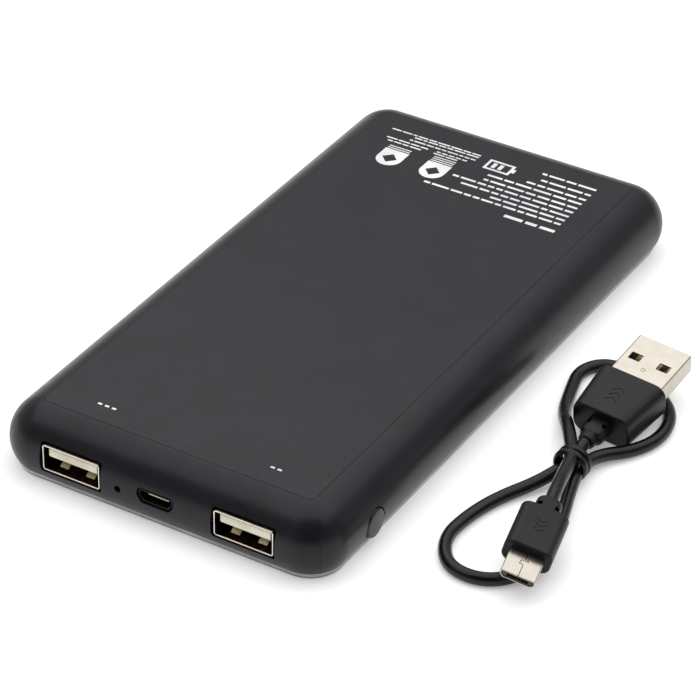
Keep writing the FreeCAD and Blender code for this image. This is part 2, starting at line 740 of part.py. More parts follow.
def make_switch():
    """The side-acting tactile switch behind the button."""
    block("switch_body", ("switch_depth", "switch_length", "switch_height"),
          ("switch_front - switch_depth / 2", "button_along"), "board_top", "0.3")
    socket = doc.getObject("switch_body")
    hole = sketch_on(socket, "YZ_Plane", "plunger_socket", "button_along", "plunger_centre",
                     "switch_front")
    rectangle(hole, "plunger_length + plunger_play", "plunger_height + plunger_play")
    pocket(socket, hole, "socket_depth")
    plunger = new_body("switch_plunger")
    sketch = sketch_on(plunger, "YZ_Plane", "face", "button_along", "plunger_centre",
                       "switch_front - plunger_root")
    rectangle(sketch, "plunger_length", "plunger_height")
    pad(plunger, sketch, "plunger_root + plunger_reach")


# ---------------------------------------------------------------- cells and wiring

def make_cells():
    """Two stacked pouch cells with their tape, foam pad and joining strips."""
    front = "cell_along - cell_length / 2"
    block("cell_lower", ("cell_width", "cell_length", "cell_thickness"), ("0", "cell_along"),
          "cell_floor", "cell_corner")
    block("cell_tape", ("cell_width - 12", "cell_length - 12", "tape_thickness"), ("0", "cell_along"),
          "cell_floor + cell_thickness")
    block("cell_upper", ("cell_width", "cell_length", "cell_thickness"), ("0", "cell_along"),
          "cell_floor + cell_thickness + tape_thickness", "cell_corner")
    pad_bottom = "cell_floor + 2 * cell_thickness + tape_thickness"
    block("foam_pad", ("cell_width - 8", "cell_length - 10", "ceiling_height - ( %s )" % pad_bottom),
          ("0", "cell_along"), pad_bottom, "1.0")
    low = "cell_floor + cell_thickness / 2 - strip_thickness / 2"
    high = "cell_floor + cell_thickness * 1.5 + tape_thickness - strip_thickness / 2"
    tab = ("strip_width", "strip_reach", "strip_thickness")
    bridge = ("strip_width", "strip_thickness", "cell_thickness + tape_thickness + strip_thickness")
    for name, side in (("positive", 1), ("negative", -1)):
        across = "%d * strip_across" % side
        pieces = []
        for level, height in (("low", low), ("high", high)):
            pieces.append(bar("%s_tab_%s" % (name, level), tab,
                              (across, front + " - strip_reach / 2"), height))
        pieces.append(bar("%s_bridge" % name, bridge,
                          (across, front + " - strip_reach + strip_thickness / 2"), low))
        fused("%s_strip" % name, pieces)


# how far along the slab and how high each bend of a lead lies
WIRE_ROUTE = [(-40.7, 9.0), (-42.6, 9.0), (-45.0, 6.15), (-48.0, 6.15)]


def rounded_path(points):
    """Straight runs through hand-set points, joined by tangent arcs; also each arc's radius.

    Each arc takes 0.45 of the shorter of its two runs from either side of its point.
    """
    corners = [FreeCAD.Vector(*point) for point in points]
    edges = []
    radii = []
    start = corners[0]
    for before, here, after in zip(corners, corners[1:], corners[2:]):
        back = before - here
        ahead = after - here
        cut = 0.45 * min(back.Length, ahead.Length)
        back.normalize()
        ahead.normalize()
        half_turn = (math.pi - back.getAngle(ahead)) / 2
        radius = cut / math.tan(half_turn)
        radii.append(radius)
        entry = here + back * cut
        leave = here + ahead * cut
        bisector = back + ahead
        bisector.normalize()
        middle = here + bisector * (radius / math.cos(half_turn) - radius)
        edges.append(Part.LineSegment(start, entry).toShape())
        edges.append(Part.Arc(entry, middle, leave).toShape())
        start = leave
    edges.append(Part.LineSegment(start, corners[-1]).toShape())
    return Part.Wire(edges), radii


def tube(label, points, diameter):
    """A round tube along a path of runs and arcs, checked against section times length."""
    path, radii = rounded_path(points)
    section = Part.Wire(Part.Circle(FreeCAD.Vector(*points[0]),
                                    FreeCAD.Vector(*points[1]) - FreeCAD.Vector(*points[0]),
                                    diameter / 2).toShape())
    solid = path.makePipeShell([section], True, False)
    wanted = math.pi * diameter ** 2 / 4 * path.Length
    if abs(solid.Volume / wanted - 1) > 0.01:
        raise RuntimeError("%s: volume %.2f, section times length %.2f" % (label, solid.Volume, wanted))
    feature = doc.addObject("Part::Feature", label)
    feature.Label = label
    feature.Shape = solid
    SUB_PARTS.append(feature)
    print("%s: length %.1f, radii %s" % (label, path.Length, " ".join("%.1f" % r for r in radii)))
    return feature


def make_wires():
    """The two leads from the joining strips to the board."""
    for name, side in (("red_wire", 1), ("black_wire", -1)):
        across = side * value("strip_across")
        route = [(across, along, height) for along, height in WIRE_ROUTE]
        tube(name, route, value("wire_diameter"))


# ---------------------------------------------------------------- charge cable

PLUG_PLACE = FreeCAD.Placement(FreeCAD.Vector(58.92, 9.52, 6.01), FreeCAD.Rotation(85.6, -8.95, 2.2))
SMALL_PLACE = FreeCAD.Placement(FreeCAD.Vector(66.89, -49.49, 6.28),
                                FreeCAD.Rotation(-77.8, 4.95, -14.8))
TIE_PLACE = FreeCAD.Placement(FreeCAD.Vector(58.87, -15.9, 3.67), FreeCAD.Rotation())

# The cord's route from the USB-A plug's neck, through the tie, round the loop under the small
# plug, back through the tie, round the loop under the USB-A plug and through the tie once more.
FLOOR = 1.36
CORD_ROUTE = [
    (57.55, -8.06, 3.23), (57.25, -11.6, 2.45), (57.9, -15.9, 2.97), (55.0, -22.7, 1.8),
    (50.6, -30.7, FLOOR), (48.6, -38.5, FLOOR), (48.1, -46.7, FLOOR), (52.6, -53.9, FLOOR),
    (60.4, -54.5, FLOOR), (65.8, -49.3, FLOOR), (66.6, -40.4, FLOOR), (64.6, -31.4, FLOOR),
    (61.6, -21.9, 2.2), (60.2, -15.9, 2.87), (60.9, -9.3, 2.2), (66.1, -3.0, FLOOR),
    (68.5, 4.2, FLOOR), (66.6, 12.0, FLOOR), (60.5, 17.2, FLOOR), (54.3, 20.4, FLOOR),
    (47.5, 20.7, FLOOR), (44.0, 15.5, FLOOR), (45.8, 8.5, FLOOR), (48.6, -0.2, 2.2),
    (54.0, -8.4, 5.5), (58.7, -15.7, 5.5), (60.6, -22.0, 6.9), (62.45, -29.05, 8.07),
    (63.57, -34.17, 7.63),
]


def lay(things, placement):
    for thing in things:
        thing.Placement = placement


def make_usb_plug():
    """The USB-A plug, drawn with its tip towards +X and its origin where the metal meets the grip."""
    shell = new_body("usb_plug_shell")
    outside = sketch_on(shell, "YZ_Plane", "outside", out="-1 * plug_seat")
    rounded_rectangle(outside, "plug_width", "plug_thickness", "plug_corner")
    pad(shell, outside, "plug_seat + plug_reach")
    inside = sketch_on(shell, "YZ_Plane", "inside", out="plug_reach")
    rounded_rectangle(inside, "plug_width - 2 * plug_metal", "plug_thickness - 2 * plug_metal",
                      "plug_corner / 2")
    pocket(shell, inside, "plug_seat + plug_reach - plug_end")
    faces = (("top", "plug_thickness / 2"), ("under", "-1 * plug_thickness / 2 + plug_metal"))
    for face, height in faces:
        for side in (-1, 1):
            window = sketch_on(shell, "XY_Plane", "window_%s_%d" % (face, side + 1),
                               "plug_reach - plug_window_along", "%d * plug_window_across" % side,
                               height)
            rectangle(window, "plug_window_length", "plug_window_width")
            pocket(shell, window, "plug_metal")
    floor = "-1 * plug_thickness / 2 + plug_metal + core_lift"
    core = ("plug_seat + plug_reach - plug_end - core_setback", "plug_width - core_play",
            "core_thickness")
    insulator = block("usb_plug_insulator", core,
                      ("( plug_reach - core_setback - plug_seat + plug_end ) / 2", "0"), floor)
    contacts = []
    for index, offset in enumerate(CONTACT_PLACES):
        sizes = ("plug_contact_length", "plug_contact_width", "contact_thickness")
        centre = ("plug_reach - plug_contact_start - plug_contact_length / 2", offset)
        contacts.append(bar("usb_plug_contact_%d" % index, sizes, centre,
                            floor + " + core_thickness"))
    contacts = group("usb_plug_contacts", contacts)
    sizes = ("plug_grip_width", "plug_grip_rear_width", "plug_grip_thickness", "plug_grip_length",
             "plug_grip_corner")
    grip = make_grip("usb_plug_grip", sizes, "plug_seat", rounded_seat)
    relief = make_relief("usb_plug_relief", "plug_grip_length")
    lay([shell, insulator, contacts, grip, relief], PLUG_PLACE)


def rounded_seat(sketch):
    rounded_rectangle(sketch, "plug_width", "plug_thickness", "plug_corner")


def keyed_seat(sketch):
    keyed_trapezoid(sketch, "small_width", "small_width - 2 * small_chamfer", "small_thickness",
                    "small_thickness - small_chamfer")


def make_grip(label, sizes, seat_depth, draw_seat):
    """A moulded grip behind a plug's metal, narrowing rearwards, with the metal's socket."""
    width, rear_width, thickness, length, corner = sizes
    grip = new_body(label)
    front = sketch_on(grip, "YZ_Plane", "front")
    rounded_rectangle(front, width, thickness, corner)
    rear = sketch_on(grip, "YZ_Plane", "rear", out="-1 * " + length)
    rounded_rectangle(rear, rear_width, thickness, corner)
    loft(grip, front, rear)
    seat = sketch_on(grip, "YZ_Plane", "seat")
    draw_seat(seat)
    pocket(grip, seat, seat_depth)
    return grip


def make_relief(label, start):
    """A short strain relief with two crosswise slots and a round neck, behind a grip."""
    relief = new_body(label)
    body = sketch_on(relief, "YZ_Plane", "body", out="-1 * %s - relief_length" % start)
    rounded_rectangle(body, "relief_width", "relief_thickness", "relief_corner")
    pad(relief, body, "relief_length")
    for side in (-1, 1):
        slot = sketch_on(relief, "XY_Plane", "slot_%d" % (side + 1), "-1 * %s - slot_along" % start,
                         "%d * ( relief_width / 2 - slot_inset )" % side, "relief_thickness / 2")
        rectangle(slot, "slot_width", "slot_length")
        pocket(relief, slot, "slot_depth")
    if label == "usb_plug_relief":
        neck = sketch_on(relief, "YZ_Plane", "neck",
                         out="-1 * %s - relief_length - neck_length" % start)
        circle(neck, "neck_diameter")
        pad(relief, neck, "neck_length")
    return relief


def make_small_plug():
    """The micro-USB plug, drawn like the larger one."""
    shell = new_body("micro_plug_shell")
    outside = sketch_on(shell, "YZ_Plane", "outside", out="-1 * small_seat")
    keyed_seat(outside)
    pad(shell, outside, "small_seat + small_reach")
    inside = sketch_on(shell, "YZ_Plane", "inside", out="small_reach")
    keyed_trapezoid(inside, "small_width - 2 * small_metal",
                    "small_width - 2 * small_chamfer - 1.2 * small_metal",
                    "small_thickness - 2 * small_metal",
                    "small_thickness - small_chamfer - small_metal")
    pocket(shell, inside, "small_seat + small_reach - plug_end")
    insulator = new_body("micro_plug_insulator")
    core = sketch_on(insulator, "YZ_Plane", "core", out="plug_end - small_seat")
    keyed_trapezoid(core, "small_width - 2 * small_metal - small_play",
                    "small_width - 2 * small_chamfer - 1.3 * small_metal",
                    "small_thickness - 2 * small_metal - small_play",
                    "small_thickness - small_chamfer - small_metal")
    pad(insulator, core, "small_seat + small_reach - plug_end - small_setback")
    slot = sketch_on(insulator, "YZ_Plane", "slot", "0", "-1 * small_slot_drop",
                     "small_reach - small_setback")
    rectangle(slot, "small_slot_width", "small_slot_height")
    pocket(insulator, slot, "small_slot_depth")
    contacts = []
    for index in range(5):
        sizes = ("small_contact_length", "small_contact_width", "micro_contact_thickness")
        centre = ("small_reach - small_contact_start - small_contact_length / 2",
                  "micro_contact_pitch * %d" % (index - 2))
        contacts.append(bar("micro_plug_contact_%d" % index, sizes, centre,
                            "-1 * small_slot_drop - small_slot_height / 2"))
    contacts = group("micro_plug_contacts", contacts)
    sizes = ("small_grip_width", "small_grip_rear_width", "small_grip_thickness",
             "small_grip_length", "small_grip_corner")
    grip = make_grip("micro_plug_grip", sizes, "small_seat", keyed_seat)
    relief = make_relief("micro_plug_relief", "small_grip_length")
    lay([shell, insulator, contacts, grip, relief], SMALL_PLACE)


def make_cord_and_tie():
    """The cord in one length, and the double-beaded rubber tie round its three strands."""
    tube("charge_cord", CORD_ROUTE, value("cord_diameter"))
    tie = new_body("cord_tie")
    ring = sketch_on(tie, "XZ_Plane", "ring", out="-1 * tie_length / 2")
    circle(ring, "2 * tie_outer_radius")
    pad(tie, ring, "tie_length")
    hole = sketch_on(tie, "XZ_Plane", "hole", out="tie_length / 2")
    circle(hole, "2 * tie_inner_radius")
    pocket(tie, hole, "tie_length")
    lay([tie], TIE_PLACE)


make_upper_shell()
make_lower_cover()
make_base_plate()
make_cells()
make_wires()
make_circuit_board()
make_board_parts()
make_usb_port("left", -1)
make_usb_port("right", 1)
make_micro_port()
make_light()
make_button()
make_switch()
make_usb_plug()
make_small_plug()
make_cord_and_tie()
doc.recompute()

# ---------------------------------------------------------------- checks and export

for thing in doc.Objects:
    if "Invalid" in thing.State or "Error" in thing.State:
        raise RuntimeError("%s failed: %s" % (thing.Name, thing.State))
for part in SUB_PARTS:
    if part.Shape.isNull() or not part.Shape.isValid() or part.Shape.Volume <= 0:
        raise RuntimeError("%s has no valid solid" % part.Label)
for part in SUB_PARTS:
    part.Shape.exportStep("parts/%s.step" % part.Label)
    box = part.Shape.BoundBox
    print("%-24s solids %d  volume %9.2f  x %.2f %.2f  y %.2f %.2f  z %.2f %.2f" % (
        part.Label, len(part.Shape.Solids), part.Shape.Volume,
        box.XMin, box.XMax, box.YMin, box.YMax, box.ZMin, box.ZMax))
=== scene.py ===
import json
import math
import random

import bmesh
import bpy
from mathutils import Euler, Matrix, Vector


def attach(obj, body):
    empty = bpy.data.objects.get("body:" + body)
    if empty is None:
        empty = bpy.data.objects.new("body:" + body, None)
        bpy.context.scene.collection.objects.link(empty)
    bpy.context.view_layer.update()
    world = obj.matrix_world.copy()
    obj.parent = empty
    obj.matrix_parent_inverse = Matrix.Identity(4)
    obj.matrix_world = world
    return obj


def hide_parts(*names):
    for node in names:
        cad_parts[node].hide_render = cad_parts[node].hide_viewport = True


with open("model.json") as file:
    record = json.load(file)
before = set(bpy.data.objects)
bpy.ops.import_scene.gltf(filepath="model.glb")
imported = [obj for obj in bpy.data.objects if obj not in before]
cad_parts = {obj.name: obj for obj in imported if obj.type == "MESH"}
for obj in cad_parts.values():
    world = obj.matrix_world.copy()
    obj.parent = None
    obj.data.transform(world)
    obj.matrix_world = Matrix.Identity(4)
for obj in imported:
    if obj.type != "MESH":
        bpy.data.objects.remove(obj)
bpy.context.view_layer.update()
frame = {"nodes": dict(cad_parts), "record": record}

# Power bank with its tied charge cable. Everything is worked out in millimetres and scaled to
# metres when a mesh is made; only the camera, the lights and the cord are written in metres.
MM = 0.001


# ---------------------------------------------------------------- camera

CAMERA_PLACE = Vector((0.27772, -0.47225, 0.37366))
CAMERA_ANGLES = (30.5, 34.34, 0.895)        # azimuth, elevation and roll, in degrees
LENS_MM = 167.39
SENSOR_MM = 36.0


def make_camera():
    """The camera, which frames the power bank and its cable."""
    azimuth, elevation, roll = (math.radians(angle) for angle in CAMERA_ANGLES)
    data = bpy.data.cameras.new("camera")
    data.sensor_width = SENSOR_MM
    data.lens = LENS_MM
    data.clip_start = 0.01
    camera = bpy.data.objects.new("camera", data)
    bpy.context.scene.collection.objects.link(camera)
    turn = (Matrix.Rotation(azimuth, 3, "Z") @ Matrix.Rotation(math.pi / 2 - elevation, 3, "X")
            @ Matrix.Rotation(roll, 3, "Z"))
    camera.matrix_world = Matrix.Translation(CAMERA_PLACE) @ turn.to_4x4()
    bpy.context.scene.camera = camera


make_camera()


# ---------------------------------------------------------------- cord

CORD_DIAMETER = 0.0027
FLOOR = 0.00136                             # height of the cord's middle where it lies flat
# the CAD's route, in metres: from the USB-A plug's neck to the micro-USB plug's relief
CORD_ROUTE = [
    (0.05755, -0.00806, 0.00323), (0.05725, -0.0116, 0.00245), (0.0579, -0.0159, 0.00297),
    (0.0550, -0.0227, 0.0018), (0.0506, -0.0307, FLOOR), (0.0486, -0.0385, FLOOR),
    (0.0481, -0.0467, FLOOR), (0.0526, -0.0539, FLOOR), (0.0604, -0.0545, FLOOR),
    (0.0658, -0.0493, FLOOR), (0.0666, -0.0404, FLOOR), (0.0646, -0.0314, FLOOR),
    (0.0616, -0.0219, 0.0022), (0.0602, -0.0159, 0.00287), (0.0609, -0.0093, 0.0022),
    (0.0661, -0.0030, FLOOR), (0.0685, 0.0042, FLOOR), (0.0666, 0.0120, FLOOR),
    (0.0605, 0.0172, FLOOR), (0.0543, 0.0204, FLOOR), (0.0475, 0.0207, FLOOR),
    (0.0440, 0.0155, FLOOR), (0.0458, 0.0085, FLOOR), (0.0486, -0.0002, 0.0022),
    (0.0540, -0.0084, 0.0055), (0.0587, -0.0157, 0.0055), (0.0606, -0.0220, 0.0069),
    (0.06245, -0.02905, 0.00807), (0.06357, -0.03417, 0.00763),
]


def make_cord():
    """The cord as one smooth line with a round section."""
    data = bpy.data.curves.new("charge_cord_line", "CURVE")
    data.dimensions = "3D"
    data.bevel_depth = 1.0      # times each point's radius
    data.bevel_resolution = 8
    data.use_fill_caps = True
    spline = data.splines.new("NURBS")
    spline.points.add(len(CORD_ROUTE) - 1)
    for point, place in zip(spline.points, CORD_ROUTE):
        point.co = (*place, 1.0)
        point.radius = CORD_DIAMETER / 2
    spline.order_u = 3
    spline.use_endpoint_u = True
    spline.resolution_u = 12
    cord = bpy.data.objects.new("charge_cord_line", data)
    bpy.context.scene.collection.objects.link(cord)
    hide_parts("charge_cord")
    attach(cord, "cable")
    return cord


cord = make_cord()


# ---------------------------------------------------------------- node trees

NOISE_RANGE = (0.35, 0.65)


class Tree:
    """A material's node tree, with short calls for the nodes used here."""

    def __init__(self, name):
        self.material = bpy.data.materials.new(name)
        self.material.use_nodes = True
        self.nodes = self.material.node_tree.nodes
        self.links = self.material.node_tree.links
        self.shader = self.nodes["Principled BSDF"]
        self.place = self.nodes.new("ShaderNodeTexCoord").outputs["Object"]

    def link(self, source, target):
        """Joins a node's output to another's input."""
        self.links.new(source, target)

    def noise(self, size_mm, detail=2.0, roughness=0.5, stretch=None):
        """Noise whose features are about size_mm across, longer where stretch says so."""
        place = self.place
        if stretch:
            mapping = self.nodes.new("ShaderNodeMapping")
            mapping.inputs["Scale"].default_value = [1 / s for s in stretch]
            self.link(place, mapping.inputs["Vector"])
            place = mapping.outputs["Vector"]
        node = self.nodes.new("ShaderNodeTexNoise")
        node.inputs["Scale"].default_value = 1 / (size_mm * MM)
        node.inputs["Detail"].default_value = detail
        node.inputs["Roughness"].default_value = roughness
        self.link(place, node.inputs["Vector"])
        return node.outputs["Fac"]

    def spots(self, cell_mm, radius, share):
        """1 on small round spots, in that share of cells of that size, else 0."""
        node = self.nodes.new("ShaderNodeTexVoronoi")
        node.inputs["Scale"].default_value = 1 / (cell_mm * MM)
        self.link(self.place, node.inputs["Vector"])
        near = self.math("LESS_THAN", node.outputs["Distance"], radius)
        picked = self.nodes.new("ShaderNodeSeparateColor")
        self.link(node.outputs["Color"], picked.inputs["Color"])
        chosen = self.math("LESS_THAN", picked.outputs["Red"], share)
        return self.math("MULTIPLY", near, chosen)

    def math(self, operation, first, second):
        """One sum on two outputs or numbers."""
        node = self.nodes.new("ShaderNodeMath")
        node.operation = operation
        for socket, given in zip(node.inputs, (first, second)):
            if isinstance(given, (int, float)):
                socket.default_value = given
            else:
                self.link(given, socket)
        return node.outputs["Value"]

    def spread(self, source, low, high):
        """Maps a noise, which mostly lies in NOISE_RANGE, to the range from low to high."""
        node = self.nodes.new("ShaderNodeMapRange")
        node.inputs["From Min"].default_value = NOISE_RANGE[0]
        node.inputs["From Max"].default_value = NOISE_RANGE[1]
        node.inputs["To Min"].default_value = low
        node.inputs["To Max"].default_value = high
        self.link(source, node.inputs["Value"])
        return node.outputs["Result"]

    def mix(self, factor, first, second):
        """Two colours, or colour outputs, blended by factor."""
        node = self.nodes.new("ShaderNodeMix")
        node.data_type = "RGBA"
        self.link(factor, node.inputs["Factor"])
        for name, given in (("A", first), ("B", second)):
            socket = [s for s in node.inputs if s.name == name and s.type == "RGBA"][0]
            if isinstance(given, tuple):
                socket.default_value = (*given, 1.0)
            else:
                self.link(given, socket)
        return [s for s in node.outputs if s.type == "RGBA"][0]

    def bump(self, height, depth_mm):
        """A surface raised by up to depth_mm where height is 1."""
        node = self.nodes.new("ShaderNodeBump")
        node.inputs["Strength"].default_value = 1.0
        node.inputs["Distance"].default_value = depth_mm * MM
        self.link(height, node.inputs["Height"])
        return node.outputs["Normal"]

    def set(self, name, given):
        """A shader input, given as a colour, a number or a node's output."""
        socket = self.shader.inputs[name]
        if isinstance(given, tuple):
            socket.default_value = (*given, 1.0)
        elif isinstance(given, (int, float)):
            socket.default_value = given
        else:
            self.link(given, socket)


def shade(colour, factor):
    """A lighter or darker version of a colour."""
    return tuple(min(1.0, c * factor) for c in colour)


DUST = (0.25, 0.25, 0.26)


def plastic(name, colour, roughness, grain_mm=0.3, grain_depth=0.004, specks=0.0, ior=1.5):
    """Moulded plastic: a fine spark-eroded grain, slow changes of tone and gloss, some dust."""
    tree = Tree(name)
    slow = tree.spread(tree.noise(9.0), 0.0, 1.0)
    tone = tree.mix(slow, shade(colour, 0.85), shade(colour, 1.2))
    if specks:
        tone = tree.mix(tree.spots(2.2, 0.035, specks), tone, DUST)
    tree.set("Base Color", tone)
    gloss = tree.noise(1.6, detail=4.0)
    tree.set("Roughness", tree.spread(gloss, roughness - 0.03, roughness + 0.03))
    grain = tree.noise(grain_mm, detail=3.0, roughness=0.7)
    tree.set("Normal", tree.bump(grain, grain_depth))
    tree.set("IOR", ior)
    return tree.material


def metal(name, colour, roughness, along=(1, 1, 1), scratch_mm=0.05, depth=0.0006, tarnish=0.9):
    """Plated sheet metal: rolling marks along one direction, faint tarnish and handling marks."""
    tree = Tree(name)
    cloud = tree.spread(tree.noise(2.5, detail=4.0), 0.0, 1.0)
    tree.set("Base Color", tree.mix(cloud, shade(colour, tarnish), colour))
    tree.set("Metallic", 1.0)
    marks = tree.noise(scratch_mm, detail=2.0, stretch=along)
    tree.set("Roughness", tree.spread(marks, roughness - 0.05, roughness + 0.07))
    tree.set("Normal", tree.bump(marks, depth))
    return tree.material


MATERIALS = {
    "shell_plastic": plastic("shell_black", (0.0092, 0.0080, 0.0112), 0.32, 0.35, 0.003,
                             specks=0.012, ior=1.34),
    # the lower cover's and base plate's greys are partly their own tone and partly painted light,
    # raised to lift their edge in the shade under the shell
    "cover_plastic": plastic("cover_grey", (0.42, 0.42, 0.43), 0.30, 0.25, 0.002),
    "plate_plastic": plastic("plate_grey", (0.24, 0.24, 0.245), 0.32, 0.3, 0.003),
    "button_plastic": plastic("button_black", (0.009, 0.0082, 0.0105), 0.28, 0.25, 0.002,
                              ior=1.38),
    "grip_plastic": plastic("grip_black", (0.0045, 0.0045, 0.0052), 0.40, 0.20, 0.010, ior=1.35),
    "cord_jacket": plastic("cord_jacket", (0.003, 0.003, 0.0035), 0.27, 0.5, 0.003, ior=1.37),
    "tie_rubber": plastic("tie_rubber", (0.003, 0.003, 0.0035), 0.25, 0.3, 0.002, ior=1.37),
    "dark_insulator": plastic("dark_insulator", (0.03, 0.03, 0.033), 0.4, 0.2, 0.003),
    "plug_insulator": plastic("plug_insulator", (0.05, 0.047, 0.044), 0.4, 0.2, 0.003),
    "port_insulator": plastic("port_cream", (0.92, 0.82, 0.66), 0.38, 0.25, 0.003),
    "port_metal": metal("port_nickel", (0.80, 0.73, 0.61), 0.22, (1, 8, 1)),
    "plug_metal": metal("plug_nickel", (0.52, 0.485, 0.42), 0.27, (1, 6, 1), tarnish=0.93),
    "contact_metal": metal("contact_gold", (0.85, 0.60, 0.26), 0.25),
    "nickel_strip": metal("nickel_strip", (0.62, 0.60, 0.57), 0.35, (6, 1, 1)),
    "cell_pouch": metal("pouch_foil", (0.70, 0.71, 0.73), 0.38, (1, 1, 1), 0.8, 0.03),
    "white_tape": plastic("white_tape", (0.75, 0.74, 0.70), 0.55, 0.5, 0.01),
    "foam": plastic("black_foam", (0.03, 0.03, 0.03), 0.9, 0.25, 0.08),
    "red_insulation": plastic("red_insulation", (0.45, 0.02, 0.015), 0.4, 0.3, 0.003),
    "black_insulation": plastic("black_insulation", (0.015, 0.015, 0.015), 0.4, 0.3, 0.003),
    "board_laminate": plastic("board_laminate", (0.012, 0.10, 0.03), 0.35, 0.15, 0.004),
    "ferrite": plastic("ferrite", (0.05, 0.05, 0.052), 0.5, 0.12, 0.01),
    "chip_resin": plastic("chip_resin", (0.018, 0.018, 0.02), 0.45, 0.1, 0.004),
    "capacitor_ceramic": plastic("capacitor_ceramic", (0.42, 0.27, 0.13), 0.4, 0.15, 0.003),
    "led_resin": plastic("led_resin", (0.70, 0.68, 0.55), 0.3, 0.2, 0.002),
    "clear_plastic": plastic("smoky_pipe", (0.012, 0.012, 0.014), 0.25, 0.2, 0.002),
    "switch_housing": plastic("switch_housing", (0.04, 0.04, 0.042), 0.45, 0.15, 0.004),
}
# the USB-A ports' sheet painted dark brown inside, behind the mouth: painted shade in the ports'
# hollow
PORT_INSIDE_PAINTED_SHADE = metal("port_inside_painted_shade", (0.075, 0.048, 0.02), 0.26, (1, 8, 1))
# a bright pale colour: on the spring leaves a painted highlight on their bent ends, on the
# micro-USB blade its own pale colour
LEAF_GLINT_AND_PALE_BLADE = plastic("leaf_glint_and_pale_blade", (1.0, 0.80, 0.52), 0.3, 0.3, 0.001)
# the micro-USB receptacle's metal painted nearly black: painted shade in its recess
MICRO_PORT_PAINTED_SHADE = metal("micro_port_painted_shade", (0.02, 0.019, 0.019), 0.4, (1, 6, 1))
INK = plastic("white_ink", (0.86, 0.87, 0.90), 0.5, 0.12, 0.002)


# ---------------------------------------------------------------- mesh helpers

def placement(origin, yaw=0.0, pitch=0.0, roll=0.0):
    """The CAD's placement of a piece drawn about its own origin, in millimetres."""
    turn = Euler((math.radians(roll), math.radians(pitch), math.radians(yaw)), "XYZ")
    return Matrix.Translation(origin) @ turn.to_matrix().to_4x4()


HOME = Matrix.Identity(4)
PLUG = placement((58.92, 9.52, 6.01), 85.6, -8.95, 2.2)
SMALL_PLUG = placement((66.89, -49.49, 6.28), -77.8, 4.95, -14.8)
TIE = placement((58.87, -15.9, 3.67))


def new_object(name, bm, place=HOME):
    """An object from a mesh drawn in millimetres about its own origin."""
    bm.transform(Matrix.Scale(MM, 4) @ place)
    bmesh.ops.recalc_face_normals(bm, faces=bm.faces)
    mesh = bpy.data.meshes.new(name)
    bm.to_mesh(mesh)
    bm.free()
    thing = bpy.data.objects.new(name, mesh)
    bpy.context.scene.collection.objects.link(thing)
    return thing


def apply_modifiers(thing):
    """The mesh as its modifiers leave it."""
    depsgraph = bpy.context.evaluated_depsgraph_get()
    mesh = bpy.data.meshes.new_from_object(thing.evaluated_get(depsgraph))
    thing.modifiers.clear()
    thing.data = mesh


def combine(thing, other, operation="DIFFERENCE"):
    """Cuts other out of thing, or joins it on, and removes other."""
    modifier = thing.modifiers.new("combine", "BOOLEAN")
    modifier.operation = operation
    modifier.solver = "EXACT"
    modifier.object = other
    apply_modifiers(thing)
    bpy.data.objects.remove(other)


def bevel(thing, width_mm, segments=2, angle=40.0):
    """Rounds the edges that are sharper than angle."""
    modifier = thing.modifiers.new("bevel", "BEVEL")
    modifier.width = width_mm * MM
    modifier.segments = segments
    modifier.limit_method = "ANGLE"
    modifier.angle_limit = math.radians(angle)
    modifier.use_clamp_overlap = True
    apply_modifiers(thing)


def finish_piece(thing, body, slot, *nodes, material=None, sharp=35.0):
    """Smooth shading, material, body and the CAD nodes that the piece stands for."""
    mesh = thing.data
    mesh.materials.clear()
    mesh.materials.append(material or MATERIALS[slot])
    mesh.polygons.foreach_set("use_smooth", [True] * len(mesh.polygons))
    mesh.polygons.foreach_set("material_index", [0] * len(mesh.polygons))
    mesh.set_sharp_from_angle(angle=math.radians(sharp))
    mesh.update()
    weighted = thing.modifiers.new("weighted", "WEIGHTED_NORMAL")
    weighted.keep_sharp = True
    weighted.weight = 100
    apply_modifiers(thing)
    if nodes:
        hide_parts(*nodes)
    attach(thing, body)
    return thing


def rounded_outline(corners, radii, steps=6):
    """A closed outline through corners, each rounded by its radius."""
    outline = []
    count = len(corners)
    for index, radius in enumerate(radii):
        here = Vector(corners[index])
        back = (Vector(corners[index - 1]) - here).normalized()
        ahead = (Vector(corners[(index + 1) % count]) - here).normalized()
        half = back.angle(ahead) / 2
        if radius <= 0:
            outline.append(here)
            continue
        centre = here + (back + ahead).normalized() * (radius / math.sin(half))
        start = here + back * (radius / math.tan(half)) - centre
        end = here + ahead * (radius / math.tan(half)) - centre
        turn = math.atan2(start.x * end.y - start.y * end.x, start.dot(end))
        for step in range(steps + 1):
            spun = Matrix.Rotation(turn * step / steps, 2) @ start
            outline.append(centre + spun)
    return outline


def box_corners(width, height):
    """The corners of a rectangle about the middle, anticlockwise."""
    x, y = width / 2, height / 2
    return [(-x, -y), (x, -y), (x, y), (-x, y)]


def rounded_box(width, height, radius, steps=6):
    """A rounded rectangle's outline; a circle's where the radius is half its width."""
    return rounded_outline(box_corners(width, height), [radius] * 4, steps)


def keyed_outline(width, narrow, height, straight, radius):
    """Wide at the top with upright ends, tapering to a narrower bottom."""
    x, low, z = width / 2, narrow / 2, height / 2
    knee = z - straight
    corners = [(-low, -z), (low, -z), (x, knee), (x, z), (-x, z), (-x, knee)]
    return rounded_outline(corners, [radius] * 6, steps=4)


def add_ring(bm, outline, along, axis="X"):
    """Vertices of one outline at a distance along an axis."""
    if axis == "X":
        return [bm.verts.new((along, u, v)) for u, v in outline]
    if axis == "Y":
        return [bm.verts.new((u, along, v)) for u, v in outline]
    return [bm.verts.new((u, v, along)) for u, v in outline]


